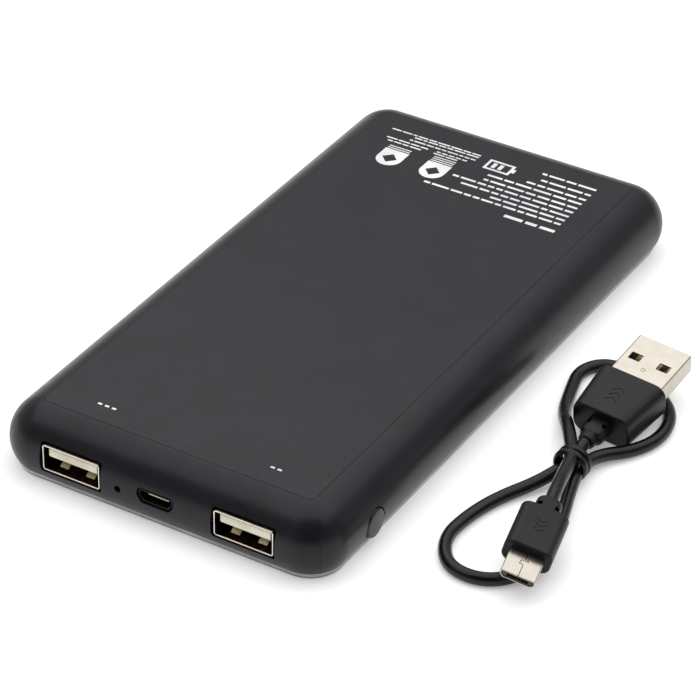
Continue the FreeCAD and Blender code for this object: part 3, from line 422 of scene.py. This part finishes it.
def join_rings(bm, rings, cap_first=True, cap_last=True, closed=False):
    """Faces between successive rings, and over the first and last; closed joins last to first."""
    pairs = list(zip(rings, rings[1:]))
    if closed:
        pairs.append((rings[-1], rings[0]))
    for ring, following in pairs:
        count = len(ring)
        for index in range(count):
            after = (index + 1) % count
            bm.faces.new((ring[index], ring[after], following[after], following[index]))
    if cap_first and not closed:
        bm.faces.new(rings[0])
    if cap_last and not closed:
        bm.faces.new(rings[-1])


def prism(outline, start, end, axis="X", name="prism", place=HOME):
    """An outline drawn out from start to end along an axis."""
    bm = bmesh.new()
    join_rings(bm, [add_ring(bm, outline, start, axis), add_ring(bm, outline, end, axis)])
    return new_object(name, bm, place)


def slab(low, high, name="slab", place=HOME):
    """A plain box between two corners, used to cut others."""
    centre = (Vector(low) + Vector(high)) / 2
    size = Vector(high) - Vector(low)
    bm = bmesh.new()
    reach = Matrix.Translation(centre) @ Matrix.Diagonal((*size, 1))
    bmesh.ops.create_cube(bm, size=1.0, matrix=reach)
    return new_object(name, bm, place)


def ribbon(points, width, low, high, name="ribbon", place=HOME):
    """A narrow wall following points in the XY plane, with mitred bends, from low to high in Z."""
    left, right = [], []
    for index, point in enumerate(points):
        here = Vector(point)
        before = (here - Vector(points[index - 1])).normalized() if index else None
        after = None
        if index + 1 < len(points):
            after = (Vector(points[index + 1]) - here).normalized()
        way = ((before or after) + (after or before)).normalized()
        side = Vector((-way.y, way.x))
        reach = width / 2
        if before and after:
            reach /= max(0.35, math.cos(before.angle(after) / 2))
        left.append(here + side * reach)
        right.append(here - side * reach)
    return prism(left + right[::-1], low, high, "Z", name, place)


def rounded_copy(node, body, width_mm, segments=2):
    """The CAD node's own shape with its edges rounded as moulding and stamping leave them."""
    source = frame["nodes"][node]
    bm = bmesh.new()
    bm.from_mesh(source.data)
    bmesh.ops.remove_doubles(bm, verts=bm.verts, dist=1e-6)
    bmesh.ops.dissolve_limit(bm, angle_limit=math.radians(0.5), verts=bm.verts, edges=bm.edges)
    mesh = bpy.data.meshes.new(node + "_shape")
    bm.to_mesh(mesh)
    bm.free()
    thing = bpy.data.objects.new(node + "_shape", mesh)
    bpy.context.scene.collection.objects.link(thing)
    bevel(thing, width_mm, segments)
    return finish_piece(thing, body, SLOT_OF[node], node)


# which of the record's finishes each CAD node has
SLOT_OF = {part["node"]: part["material_slot"] for part in frame["record"]["subparts"]}


# ---------------------------------------------------------------- upper shell

WIDTH, LENGTH, HEIGHT = 75.0, 143.8, 14.5
EDGE_RADIUS = 8.5
WIDEST = 6.09           # height at which the slab is widest
PARTING = 1.49          # height of the line between the shell and the lower cover
LINE_WIDTH = 0.09       # half the width of a witness line
LINE_DEPTH = 0.07
PRINT_THICKNESS = 0.02
# how far inside the casing's side the cavity's wall is, and at what height
CAVITY = [(3.2, PARTING), (3.2, 10.5), (5.6, 10.5), (5.6, 13.1)]
POST_HEIGHTS = (5.35, 13.3)
POST_WIDTH = 3.0
POSTS = [(x, y) for x in (-24.0, 24.0) for y in (-51.5, -44.5)]
FRONT = -LENGTH / 2
PORT_HEIGHT = 6.8
USB_ACROSS = 19.35
USB_SIZE = (13.1, 5.72)
USB_MOUTH = (14.0, 6.62, 0.7)               # the opening's width, height and corner radius
# the micro-USB opening's width at the top and the bottom, its height, the height of its upright
# ends and its corner radius
MICRO_MOUTH = (8.2, 6.2, 3.2, 1.7, 0.7)
PINHOLE = 1.45          # diameter
BORE = 6.5              # diameter of the button's hole
LIGHT_PLACE = (-8.43, 6.26)                 # X and Z
BUTTON_PLACE = (-53.9, 5.1)                 # Y and Z


def shell_outer_rings(bm):
    """Rings of the shell's outside, from the flat panel's edge down to the parting line."""
    top = HEIGHT - PRINT_THICKNESS
    high = math.asin((top - WIDEST) / EDGE_RADIUS)
    low = math.asin((PARTING - WIDEST) / EDGE_RADIUS)
    panel = EDGE_RADIUS * math.cos(high)
    crease = math.asin(LINE_WIDTH / EDGE_RADIUS) * 1.3
    levels = [(panel - LINE_WIDTH, top, 0.0), (panel, top - LINE_DEPTH, 0.0)]
    steps = 44
    for step in range(steps + 1):
        angle = high - crease + (low - high + crease) * step / steps
        levels.append((EDGE_RADIUS * math.cos(angle), WIDEST + EDGE_RADIUS * math.sin(angle),
                       LINE_DEPTH))
    return [add_ring(bm, shell_outline(reach, mitre), height, "Z")
            for reach, height, mitre in levels]


def shell_outline(reach, mitre=0.0):
    """The slab's plan at one height: corners of radius reach, each with a sunk mitre line."""
    x, y = WIDTH / 2 - EDGE_RADIUS, LENGTH / 2 - EDGE_RADIUS
    outline = []
    steps = 14
    half_line = LINE_WIDTH / max(reach, 0.5)
    for centre, start in (((x, -y), -90), ((x, y), 0), ((-x, y), 90), ((-x, -y), 180)):
        middle = math.radians(start + 45)
        quarter = math.radians(45)
        sweep = [(quarter - half_line) * step / steps for step in range(steps + 1)]
        angles = [middle - quarter + part for part in sweep]
        angles.append(middle)
        angles += [middle + half_line + part for part in sweep]
        for angle in angles:
            radius = reach - (mitre if angle == middle else 0.0)
            outline.append((centre[0] + radius * math.cos(angle),
                            centre[1] + radius * math.sin(angle)))
    return outline


def make_upper_shell():
    """The shell: rolled edges, witness lines, cavity, openings and the posts over the board."""
    bm = bmesh.new()
    rings = shell_outer_rings(bm)
    join_rings(bm, rings, cap_last=False)
    inner = [add_ring(bm, shell_outline(EDGE_RADIUS - inset), height, "Z")
             for inset, height in CAVITY]
    join_rings(bm, [rings[-1], *inner], cap_first=False)
    shell = new_object("upper_shell_shape", bm)
    for cutter in shell_openings():
        combine(shell, cutter)
    for x, y in POSTS:
        post = prism(rounded_box(POST_WIDTH, POST_WIDTH, POST_WIDTH / 2), *POST_HEIGHTS, "Z",
                     "post", placement((x, y, 0)))
        combine(shell, post, "UNION")
    return finish_piece(shell, "bank", "shell_plastic", "upper_shell", sharp=28.0)


def shell_openings():
    """Cutters for the ports, the pinhole and the button's bore."""
    depth = (FRONT - 1.0, FRONT + 3.6)
    cutters = []
    for x in (-USB_ACROSS, USB_ACROSS):
        outline = rounded_box(*USB_MOUTH, 5)
        cutters.append(prism(outline, *depth, "Y", "opening", placement((x, 0, PORT_HEIGHT))))
    micro = keyed_outline(*MICRO_MOUTH)
    cutters.append(prism(micro, *depth, "Y", "opening", placement((0, 0, PORT_HEIGHT))))
    pin = rounded_box(PINHOLE, PINHOLE, PINHOLE / 2, 8)
    place = placement((LIGHT_PLACE[0], 0, LIGHT_PLACE[1]))
    cutters.append(prism(pin, *depth, "Y", "opening", place))
    bore = rounded_box(BORE, BORE, BORE / 2, 16)
    place = placement((0, *BUTTON_PLACE))
    cutters.append(prism(bore, WIDTH / 2 - 4.0, WIDTH / 2 + 1.0, "X", "opening", place))
    return cutters


# ---------------------------------------------------------------- ports

def tube_rings(bm, outline_at, start, end, metal, lip, axis):
    """A sheet-metal tube from start to end with its mouth at end rounded over."""
    way = 1 if end > start else -1
    rings = [add_ring(bm, outline_at(0.0), start, axis)]
    steps = 4
    for step in range(steps + 1):
        turn = math.pi / 2 * step / steps
        rings.append(add_ring(bm, outline_at(lip * (1 - math.cos(turn))),
                              end - way * lip * (1 - math.sin(turn)), axis))
    for step in range(steps + 1):
        turn = math.pi / 2 * (1 - step / steps)
        rings.append(add_ring(bm, outline_at(metal - lip * (1 - math.cos(turn))),
                              end - way * lip * (1 - math.sin(turn)), axis))
    rings.append(add_ring(bm, outline_at(metal), start, axis))
    return rings


def strip(points, width, thickness, name="strip", place=HOME):
    """A bent metal leaf: points are along Y and up Z, width is across X."""
    bm = bmesh.new()
    rings = []
    for index, point in enumerate(points):
        here = Vector(point)
        before = here - Vector(points[index - 1]) if index else Vector(points[1]) - here
        after = Vector(points[index + 1]) - here if index + 1 < len(points) else before
        way = (before.normalized() + after.normalized()).normalized()
        up = Vector((-way.y, way.x)) * thickness / 2
        corners = ((-width / 2, here + up), (width / 2, here + up),
                   (width / 2, here - up), (-width / 2, here - up))
        rings.append([bm.verts.new((x, p.x, p.y)) for x, p in corners])
    join_rings(bm, rings)
    return new_object(name, bm, place)


USB_METAL, USB_LIP = 0.3, 0.13              # the sheet's thickness and its mouth's rounding
PORT_SETBACK = 0.4                          # of the ports' mouths behind the casing's front
USB_DEPTH = 14.0
# the spring leaf from behind its window to its tip: place behind the mouth, height over the
# shell's underside
LEAF = ((8.7, 0.16), (7.4, 0.22), (4.2, 0.58), (3.2, 0.76), (2.6, 0.68), (2.0, 0.14))
LEAF_WIDTH, LEAF_THICKNESS = 1.9, 0.22
LEAVES_ACROSS = (-3.0, 3.0)
LEAF_WINDOW = (2.4, 3.5, 8.5)               # width, and where it starts and ends behind the mouth
MICRO_BLADE = (4.6, 0.42)                   # width and thickness
MICRO_BLADE_HEIGHT = 6.75
MICRO_FRONT = FRONT + 1.45
PIPE_FRONT = FRONT + 1.7
PIPE_SECTIONS = ((0.0, 0.5), (0.12, 0.8), (0.35, 1.1), (0.7, 1.25), (3.2, 1.25))    # back, width


def make_usb_port(side, across):
    """A USB-A receptacle's shell with its rolled mouth, floor windows and bent spring leaves."""
    width, height = USB_SIZE
    front = FRONT + PORT_SETBACK

    def outline_at(inset):
        return rounded_box(width - 2 * inset, height - 2 * inset, max(0.6 - inset, 0.2), 5)

    bm = bmesh.new()
    rings = tube_rings(bm, outline_at, front + USB_DEPTH, front, USB_METAL, USB_LIP, "Y")
    join_rings(bm, rings, closed=True)
    centre = placement((across, 0, PORT_HEIGHT))
    shell = new_object("usb_port_%s_shape" % side, bm, centre)
    floor = -height / 2
    across_window, near, far = LEAF_WINDOW
    half = across_window / 2
    for x in LEAVES_ACROSS:
        window = slab((x - half, front + near, floor - 0.2), (x + half, front + far, floor + 0.5),
                      "window", centre)
        combine(shell, window)
    leaf = [(front + back, floor + up) for back, up in LEAF]
    for x in LEAVES_ACROSS:
        spring = strip(leaf, LEAF_WIDTH, LEAF_THICKNESS, "spring",
                       centre @ placement((x, 0, 0)))
        combine(shell, spring, "UNION")
    node = "usb_port_%s_shell" % side
    finish_piece(shell, "bank", "port_metal", node, sharp=40.0)
    shell.data.materials.append(PORT_INSIDE_PAINTED_SHADE)
    shell.data.materials.append(LEAF_GLINT_AND_PALE_BLADE)
    # faces inside the port behind its mouth get the painted shade, and the leaves' raised ends get
    # the painted highlight
    for face in shell.data.polygons:
        x, y, z = face.center / MM - Vector((across, front, PORT_HEIGHT))
        on_leaf = abs(abs(x) - 3.0) < 1.1 and floor + 0.33 < z < floor + 1.6 and y < 4.6
        inside = abs(x) < width / 2 - 0.1 and abs(z) < height / 2 - 0.1
        if inside and y > 0.2:
            face.material_index = 2 if on_leaf else 1
    return shell


def make_micro_tongue():
    """The pale blade of the micro-USB receptacle, just behind its rim and near its top."""
    blade = prism(rounded_box(*MICRO_BLADE, 0.12, 3), MICRO_FRONT, FRONT + 5.6, "Y",
                  "micro_port_blade", placement((0, 0, MICRO_BLADE_HEIGHT)))
    bevel(blade, 0.08, 2, 50.0)
    back = slab((-3.2, FRONT + 4.4, 5.9), (3.2, FRONT + 5.5, 7.6), "back")
    combine(blade, back, "UNION")
    return finish_piece(blade, "bank", "port_insulator", "micro_port_tongue", material=LEAF_GLINT_AND_PALE_BLADE)


def make_light_pipe():
    """The clear rod behind the pinhole, its domed end well back in the dark of the hole."""
    bm = bmesh.new()
    rings = [add_ring(bm, rounded_box(width, width, width / 2, 6), PIPE_FRONT + back, "Y")
             for back, width in PIPE_SECTIONS]
    join_rings(bm, rings)
    rod = new_object("light_pipe_shape", bm, placement((LIGHT_PLACE[0], 0, LIGHT_PLACE[1])))
    return finish_piece(rod, "bank", "clear_plastic", "light_pipe")


# ---------------------------------------------------------------- print

SURFACE = HEIGHT - PRINT_THICKNESS


class Print:
    """Thin ink shapes on the top panel: none of them is a letter or a real mark."""

    def __init__(self):
        self.bm = bmesh.new()
        self.draw = random.Random(7)

    def shape(self, outline):
        """One flat piece of ink, a little sunk into the panel."""
        low = [self.bm.verts.new((x, y, SURFACE - 0.02)) for x, y in outline]
        high = [self.bm.verts.new((x, y, HEIGHT - 0.004)) for x, y in outline]
        join_rings(self.bm, [low, high])

    def bar(self, x0, x1, y0, y1):
        """One plain bar between two X and two Y."""
        self.shape([(x0, y0), (x1, y0), (x1, y1), (x0, y1)])

    def row(self, start, end, y, height):
        """A greeked line of words read towards -X: plain bars of uneven length."""
        x = start
        while x > end + height:
            length = min(height * self.draw.uniform(1.2, 4.2), x - end)
            self.bar(x - length, x, y - height * 0.3, y + height * 0.3)
            x -= length + height * 0.45

    def tab(self, x0, x1, y0, y1):
        """A pale tab with one round end, a plain diamond cut out of it and thin rows above."""
        radius = (x1 - x0) / 2
        middle = (x0 + x1) / 2
        split = y0 + radius * 2.25
        turns = [math.radians(degrees) for degrees in range(0, 181, 10)]
        arc = [(middle - radius * math.cos(turn), y0 + radius - radius * math.sin(turn))
               for turn in turns]
        gem = radius * 0.62
        centre = y0 + radius * 1.05
        left = [(middle, centre - gem), (middle - gem, centre), (middle, centre + gem)]
        half = [p for p in arc if p[0] <= middle + 1e-6]
        self.shape([(middle, split), (x0, split), *half, *left])
        other = [p for p in arc if p[0] >= middle - 1e-6]
        right = [(middle, centre + gem), (middle + gem, centre), (middle, centre - gem)]
        self.shape([*other, (x1, split), (middle, split), *right])
        y = split + 0.35
        while y < y1 - 0.3:
            self.bar(x0 + 0.2, x1 - 0.2, y, y + 0.34)
            y += 0.78


# the label's print in millimetres on the panel; a row runs towards -X from its start to its end
HEADING = (24.4, 12.5, 40.4, 1.6)           # start, end, Y, height
ROWS_START = 24.2
ROW_HEIGHT, SMALL_ROW_HEIGHT = 1.1, 0.72
ROWS = ((43.5, -8.5), (45.3, 5.0), (47.1, -2.4), (49.0, -4.6), (50.9, 1.8), (52.9, 1.7),
        (54.8, 10.1), (57.0, 12.4), (59.5, 11.4))                       # Y, end
SMALL_ROWS = ((58.9, -3.3, -25.3), (58.0, -3.3, -20.0), (56.7, -3.4, -19.6),
              (55.3, -14.3, -25.1), (54.2, -15.5, -23.7), (54.5, -6.7, -12.5),
              (55.4, -4.8, -12.2))                                      # Y, start, end
TABS = ((-22.4, -16.6, 44.7, 53.4), (-11.9, -6.2, 45.0, 53.8))          # X and Y ranges
BATTERY = ((-0.8, 5.4, 54.9, 55.5), (-0.8, 5.4, 58.3, 58.9), (-0.8, -0.2, 55.5, 58.3),
           (4.8, 5.4, 55.5, 58.3), (5.4, 6.1, 56.2, 57.6), (0.6, 1.5, 55.9, 57.9),
           (2.2, 3.1, 55.9, 57.9))                                      # X and Y ranges
LEFT_DASHES = ((-16.5, -18.1, -19.7), -60.35)                           # right ends, Y
RIGHT_DASHES = ((20.6, 19.1), -60.25)
DASH_LENGTH, DASH_WIDTH = 0.9, 0.5


def make_print():
    """The greeked rating label, two tabs, a plain battery outline and the ports' dashes."""
    ink = Print()
    ink.row(*HEADING)
    for y, end in ROWS:
        ink.row(ROWS_START, end, y, ROW_HEIGHT)
    for y, start, end in SMALL_ROWS:
        ink.row(start, end, y, SMALL_ROW_HEIGHT)
    for sides in TABS:
        ink.tab(*sides)
    for sides in BATTERY:
        ink.bar(*sides)
    for ends, y in (LEFT_DASHES, RIGHT_DASHES):
        for x in ends:
            ink.bar(x - DASH_LENGTH, x, y, y + DASH_WIDTH)
    label = new_object("top_print", ink.bm)
    return finish_piece(label, "bank", "shell_plastic", material=INK)


# ---------------------------------------------------------------- button

BUTTON_RADIUS = 3.05
BUTTON_EDGE = 0.45      # radius of the rim
BUTTON_DOME = 0.12      # how far the face rises inside the rim
BUTTON_FACE = WIDTH / 2 + 0.25
FLANGE_BACK, FLANGE_FRONT = 33.5, 34.2
FLANGE_REACH = (4.5, 2.6)                   # from the middle, along Y and Z
STEM = (3.2, 32.6, 33.6)                    # diameter, and its ends along X
STEM_HEIGHT = 6.0


def button_profile():
    """The cap's radius and place along X, from the flange to the middle of the face."""
    rim = BUTTON_RADIUS - BUTTON_EDGE
    shoulder = BUTTON_FACE - BUTTON_EDGE - BUTTON_DOME
    profile = [(BUTTON_RADIUS, FLANGE_FRONT), (BUTTON_RADIUS, shoulder)]
    for step in range(1, 7):
        turn = math.pi / 2 * step / 6
        profile.append((rim + BUTTON_EDGE * math.cos(turn),
                        shoulder + BUTTON_EDGE * math.sin(turn)))
    for step in range(1, 8):
        share = 1 - step / 8
        profile.append((rim * share, BUTTON_FACE - BUTTON_DOME * share ** 2))
    return profile


def make_button():
    """The domed cap with its rounded rim, the flange that keeps it in, and the stem."""
    y, z = BUTTON_PLACE
    bm = bmesh.new()
    rings = [add_ring(bm, rounded_box(2 * size, 2 * size, size * 0.9999, 12), x)
             for size, x in button_profile()]
    join_rings(bm, rings)
    cap = new_object("button_cap_shape", bm, placement((0, y, z)))
    across, up = FLANGE_REACH
    middle = z + 0.2
    flange = slab((FLANGE_BACK, y - across, middle - up), (FLANGE_FRONT, y + across, middle + up),
                  "flange")
    combine(cap, flange, "UNION")
    width, back, front = STEM
    stem = prism(rounded_box(width, width, 1.59, 8), back, front, "X", "stem",
                 placement((0, y, STEM_HEIGHT)))
    combine(cap, stem, "UNION")
    return finish_piece(cap, "button", "button_plastic", "button_cap", sharp=38.0)


# ---------------------------------------------------------------- plugs

# a grip's front width, rear width, thickness, length and corner radius
USB_GRIP = (15.3, 12.8, 7.7, 12.35, 2.5)
SMALL_GRIP = (9.55, 9.55, 5.5, 11.75, 1.85)
GRIP_EDGE = 0.45
# the relief's sections: place behind the grip, width, height and corner radius
RELIEF = ((0.15, 5.2, 3.8, 1.5), (-2.6, 5.15, 3.75, 1.5), (-3.4, 5.0, 3.7, 1.6),
          (-3.8, 4.6, 3.5, 1.6), (-4.0, 4.1, 3.3, 1.6))
RELIEF_NECK = ((-4.05, 3.7, 3.5, 1.7), (-5.1, 3.6, 3.5, 1.7), (-5.4, 3.4, 3.3, 1.6),
               (-5.5, 3.0, 2.9, 1.4))
RELIEF_END = ((-4.02, 3.2, 3.0, 1.45),)
SLOT_ACROSS, SLOT_WIDTH = 1.7, 0.84         # the relief's slots: middle and width
# the USB-A plug's windows: place along it, places across it, and size
WINDOW_ALONG, WINDOWS_ACROSS, WINDOW_SIZE = 6.1, (-3.2, 3.2), (2.0, 2.6)
DIMPLE_ALONG, DIMPLE_RADIUS, DIMPLE_RISE = 3.6, 0.8, 0.6
USB_PLUG_SIZE = (12.0, 4.5)
USB_REACH, USB_SEAT = 12.2, 5.9             # how far the metal goes out of and into the grip
SMALL_WIDTH, SMALL_HEIGHT = 6.85, 1.8
SMALL_REACH, SMALL_SEAT = 6.1, 2.9
SMALL_METAL, SMALL_LIP = 0.25, 0.11
# the line along the plug where its metal's two ends lock together
SEAM = ((-1.0, 0.0), (1.5, 0.0), (1.5, 0.55), (1.9, 0.7), (1.9, -0.6), (2.9, -0.75),
        (2.9, -0.1), (3.3, 0.0), (6.3, 0.0))
SEAM_WIDTH = 0.15


def rounded_block(outline_at, start, end, rear, front):
    """Sections from start to end, rounded in by radius rear at one end and front at the other."""
    sections = []
    steps = 5
    for step in range(steps + 1):
        turn = math.pi / 2 * step / steps
        along = start + rear * (1 - math.cos(turn))
        sections.append((outline_at(rear * (1 - math.sin(turn)), along), along))
    for step in range(steps + 1):
        turn = math.pi / 2 * (1 - step / steps)
        along = end - front * (1 - math.cos(turn))
        sections.append((outline_at(front * (1 - math.sin(turn)), along), along))
    return sections


def grip_outline(width, thickness, corner, line_height, inset):
    """A grip's section with the mould's parting line, a small notch, low on both sides."""
    w, t = width / 2 - inset, thickness / 2 - inset
    corner = min(corner - inset * 0.3, t * 0.98)
    outline = []
    notch, deep = 0.1, 0.1
    turns = [math.radians(90 / 8 * step) for step in range(9)]
    for side in (1, -1):
        points = [(w - corner + corner * math.sin(turn), -t + corner - corner * math.cos(turn))
                  for turn in turns]
        points += [(w - depth, line_height + offset)
                   for offset, depth in ((-notch, 0.0), (0.0, deep), (notch, 0.0))]
        points += [(w - corner + corner * math.cos(turn), t - corner + corner * math.sin(turn))
                   for turn in turns]
        points = [(x * side, z) for x, z in points]
        outline += points if side > 0 else points[::-1]
    return outline


def make_grip(name, node, place, sizes, line_height, mark):
    """A moulded grip, narrower at the rear, with soft ends, a parting line and its sunk mark."""
    width, rear_width, thickness, length, corner = sizes

    def outline_at(inset, along):
        here = width + (width - rear_width) * along / length
        return grip_outline(here, thickness, corner, line_height, inset)

    bm = bmesh.new()
    sections = rounded_block(outline_at, -length, 0.0, GRIP_EDGE, GRIP_EDGE)
    join_rings(bm, [add_ring(bm, outline, along) for outline, along in sections])
    grip = new_object(name, bm, place)
    for cutter in mark(thickness / 2, place):
        combine(grip, cutter)
    return finish_piece(grip, "cable", "grip_plastic", node, sharp=30.0)


def chevrons(count, pitch, centre, reach, line, depth):
    """Plain chevrons pointing to the plug's tip, as cutters sunk into the face at that height."""
    def cutters(face, place):
        made = []
        for index in range(count):
            x = centre + (index - (count - 1) / 2) * pitch
            points = [(x - reach, reach * 1.25), (x, 0.0), (x - reach, -reach * 1.25)]
            made.append(ribbon(points, line, face - depth, face + 0.5, "chevron", place))
        return made
    return cutters


def make_relief(name, node, place, start, neck):
    """The strain relief: a block rounded towards the cord, with two slots and, on one, a neck."""
    bm = bmesh.new()
    rings = []
    for along, width, height, radius in RELIEF + (RELIEF_NECK if neck else RELIEF_END):
        rings.append(add_ring(bm, rounded_box(width, height, radius, 6), start + along))
    join_rings(bm, rings)
    relief = new_object(name, bm, place)
    for side in (-1, 1):
        y, half = side * SLOT_ACROSS, SLOT_WIDTH / 2
        slot = slab((start - 1.85, y - half, 0.9), (start - 0.85, y + half, 2.5), "slot", place)
        combine(relief, slot)
    return finish_piece(relief, "cable", "grip_plastic", node, sharp=32.0)


def make_usb_plug():
    """The USB-A plug's metal: rounded mouth, four windows with worn rims and a crimp dimple."""
    width, height = USB_PLUG_SIZE

    def outline_at(inset):
        return rounded_box(width - 2 * inset, height - 2 * inset, max(0.55 - inset, 0.2), 5)

    bm = bmesh.new()
    rings = tube_rings(bm, outline_at, -USB_SEAT, USB_REACH, USB_METAL, USB_LIP, "X")
    join_rings(bm, rings, closed=True)
    shell = new_object("usb_plug_shell_shape", bm, PLUG)
    for y in WINDOWS_ACROSS:
        window = prism(rounded_box(*WINDOW_SIZE, 0.2, 3), -3.0, 3.0, "Z", "window",
                       PLUG @ placement((WINDOW_ALONG, y, 0)))
        combine(shell, window)
    bevel(shell, 0.09, 2, 60.0)
    ball = bmesh.new()
    bmesh.ops.create_icosphere(ball, subdivisions=4, radius=DIMPLE_RADIUS)
    dimple = placement((DIMPLE_ALONG, 0, height / 2 + DIMPLE_RISE))
    combine(shell, new_object("dimple", ball, PLUG @ dimple))
    return finish_piece(shell, "cable", "plug_metal", "usb_plug_shell", sharp=40.0)


def make_small_plug():
    """The micro-USB plug's metal, wrapped round and locked by a puzzle seam on its wide face."""
    def outline_at(inset):
        narrow = SMALL_WIDTH - 1.4 - 1.2 * inset
        return keyed_outline(SMALL_WIDTH - 2 * inset, narrow, SMALL_HEIGHT - 2 * inset,
                             1.1 - inset, max(0.35 - inset, 0.12))

    bm = bmesh.new()
    rings = tube_rings(bm, outline_at, -SMALL_SEAT, SMALL_REACH, SMALL_METAL, SMALL_LIP, "X")
    join_rings(bm, rings, closed=True)
    shell = new_object("micro_plug_shell_shape", bm, SMALL_PLUG)
    combine(shell, ribbon(SEAM, SEAM_WIDTH, 0.55, 1.1, "seam", SMALL_PLUG))
    return finish_piece(shell, "cable", "plug_metal", "micro_plug_shell", sharp=40.0)


def make_tie():
    """The tie: two round rubber beads side by side, drawn in between."""
    bm = bmesh.new()
    profile = []
    inner, outer, half = 2.75, 3.65, 1.6     # radii, and half the width
    valley = inner + 0.2
    for bead in (-1, 1):
        for step in range(12):
            angle = math.pi * step / 11
            profile.append((bead * half / 2 - math.cos(angle) * half / 2,
                            valley + (outer - valley) * math.sin(angle) ** 0.8))
    profile += [(half * 0.9, inner), (-half * 0.9, inner)]
    rings = []
    turns = 64
    for turn in range(turns):
        angle = 2 * math.pi * turn / turns
        rings.append([bm.verts.new((r * math.cos(angle), along, r * math.sin(angle)))
                      for along, r in profile])
    join_rings(bm, rings, closed=True)
    bmesh.ops.remove_doubles(bm, verts=bm.verts, dist=1e-3)
    tie = new_object("cord_tie_shape", bm, TIE)
    return finish_piece(tie, "cable", "tie_rubber", "cord_tie", sharp=60.0)


# ---------------------------------------------------------------- build

make_upper_shell()
for side, across in (("left", -USB_ACROSS), ("right", USB_ACROSS)):
    make_usb_port(side, across)
    rounded_copy("usb_port_%s_tongue" % side, "bank", 0.15)
    rounded_copy("usb_port_%s_contacts" % side, "bank", 0.03)
make_button()
make_micro_tongue()
make_light_pipe()
make_print()
rounded_copy("lower_cover", "bank", 0.14, 3)
rounded_copy("base_plate", "bank", 0.16, 3)
make_usb_plug()
make_small_plug()
make_grip("usb_plug_grip_shape", "usb_plug_grip", PLUG, USB_GRIP, -0.9,
          chevrons(3, 1.5, -6.2, 1.0, 0.17, 0.14))
make_grip("micro_plug_grip_shape", "micro_plug_grip", SMALL_PLUG, SMALL_GRIP, -0.2,
          chevrons(3, 1.3, -6.0, 0.9, 0.15, 0.08))
make_relief("usb_plug_relief_shape", "usb_plug_relief", PLUG, -USB_GRIP[3], True)
make_relief("micro_plug_relief_shape", "micro_plug_relief", SMALL_PLUG, -SMALL_GRIP[3], False)
make_tie()
cord.data.materials.append(MATERIALS["cord_jacket"])
for name, thing in frame["nodes"].items():
    # the micro-USB receptacle's shell takes the painted shade instead of its slot's finish
    finish = MICRO_PORT_PAINTED_SHADE if name == "micro_port_shell" else MATERIALS[SLOT_OF[name]]
    for holder in thing.material_slots:
        holder.material = finish


# ---------------------------------------------------------------- stage

BRIGHT_SIDE = (-0.51, 0.86, 0.15)
ROOM_LIGHT = (0.12, 0.55)                   # on the dim and the bright side
OVERHEAD_RADIANCE = 1.3
FLOOR_GLOW = 0.27
FLOOR_HALF_MM = 3000.0
SHADE_HALF_MM = 400.0


def softbox(name, place, target, size, radiance):
    """A square area light of even radiance, facing target."""
    data = bpy.data.lights.new(name, "AREA")
    data.shape = "RECTANGLE"
    data.size, data.size_y = size
    data.energy = radiance * math.pi * size[0] * size[1]
    light = bpy.data.objects.new(name, data)
    light.location = place
    light.rotation_euler = (Vector(target) - Vector(place)).to_track_quat("-Z", "Y").to_euler()
    bpy.context.scene.collection.objects.link(light)


def light_world(tree):
    """A soft room: bright behind the object and to its left, dim on the camera's side."""
    nodes, links = tree.nodes, tree.links
    way = nodes.new("ShaderNodeTexCoord").outputs["Generated"]
    side = nodes.new("ShaderNodeVectorMath")
    side.operation = "DOT_PRODUCT"
    side.inputs[1].default_value = BRIGHT_SIDE
    links.new(way, side.inputs[0])
    level = nodes.new("ShaderNodeMapRange")
    level.inputs["From Min"].default_value = -0.9
    level.inputs["From Max"].default_value = 0.8
    level.inputs["To Min"].default_value = ROOM_LIGHT[0]
    level.inputs["To Max"].default_value = ROOM_LIGHT[1]
    links.new(side.outputs["Value"], level.inputs["Value"])
    nodes["Background"].inputs["Color"].default_value = (1.0, 0.985, 1.0, 1.0)
    links.new(level.outputs["Result"], nodes["Background"].inputs["Strength"])


def flat_square(name, half_mm):
    """A flat square mesh, drawn about its middle."""
    bm = bmesh.new()
    bmesh.ops.create_grid(bm, x_segments=1, y_segments=1, size=half_mm)
    return new_object(name, bm)


def make_floor():
    """A plain white floor that glows a little, so that it stays pale."""
    floor = flat_square("floor", FLOOR_HALF_MM)
    tree = Tree("floor_paper")
    tree.set("Base Color", tree.mix(tree.noise(40.0), (0.93, 0.93, 0.93), (0.95, 0.95, 0.95)))
    tree.set("Roughness", 0.9)
    tree.set("Emission Color", (1.0, 1.0, 1.0))
    tree.set("Emission Strength", FLOOR_GLOW)
    floor.data.materials.append(tree.material)


def make_shade_card():
    """A dark card behind the camera, seen only in reflections."""
    card = flat_square("camera_shade", SHADE_HALF_MM)
    card.matrix_world = (Matrix.Translation(CAMERA_PLACE * 1.08)
                         @ CAMERA_PLACE.to_track_quat("Z", "Y").to_matrix().to_4x4())
    tree = Tree("shade_cloth")
    tree.set("Base Color", (0.004, 0.004, 0.004))
    tree.set("Roughness", 1.0)
    card.data.materials.append(tree.material)
    card.visible_camera = False
    card.visible_diffuse = False
    card.visible_shadow = False


def make_stage():
    """The room's light, one overhead softbox, the floor and the card."""
    scene = bpy.context.scene
    scene.view_settings.view_transform = "Standard"
    world = bpy.data.worlds.new("studio")
    world.use_nodes = True
    light_world(world.node_tree)
    scene.world = world
    softbox("overhead", (0.0, 0.1, 1.0), (0.0, 0.0, 0.0), (2.0, 2.0), OVERHEAD_RADIANCE)
    make_floor()
    make_shade_card()


make_stage()
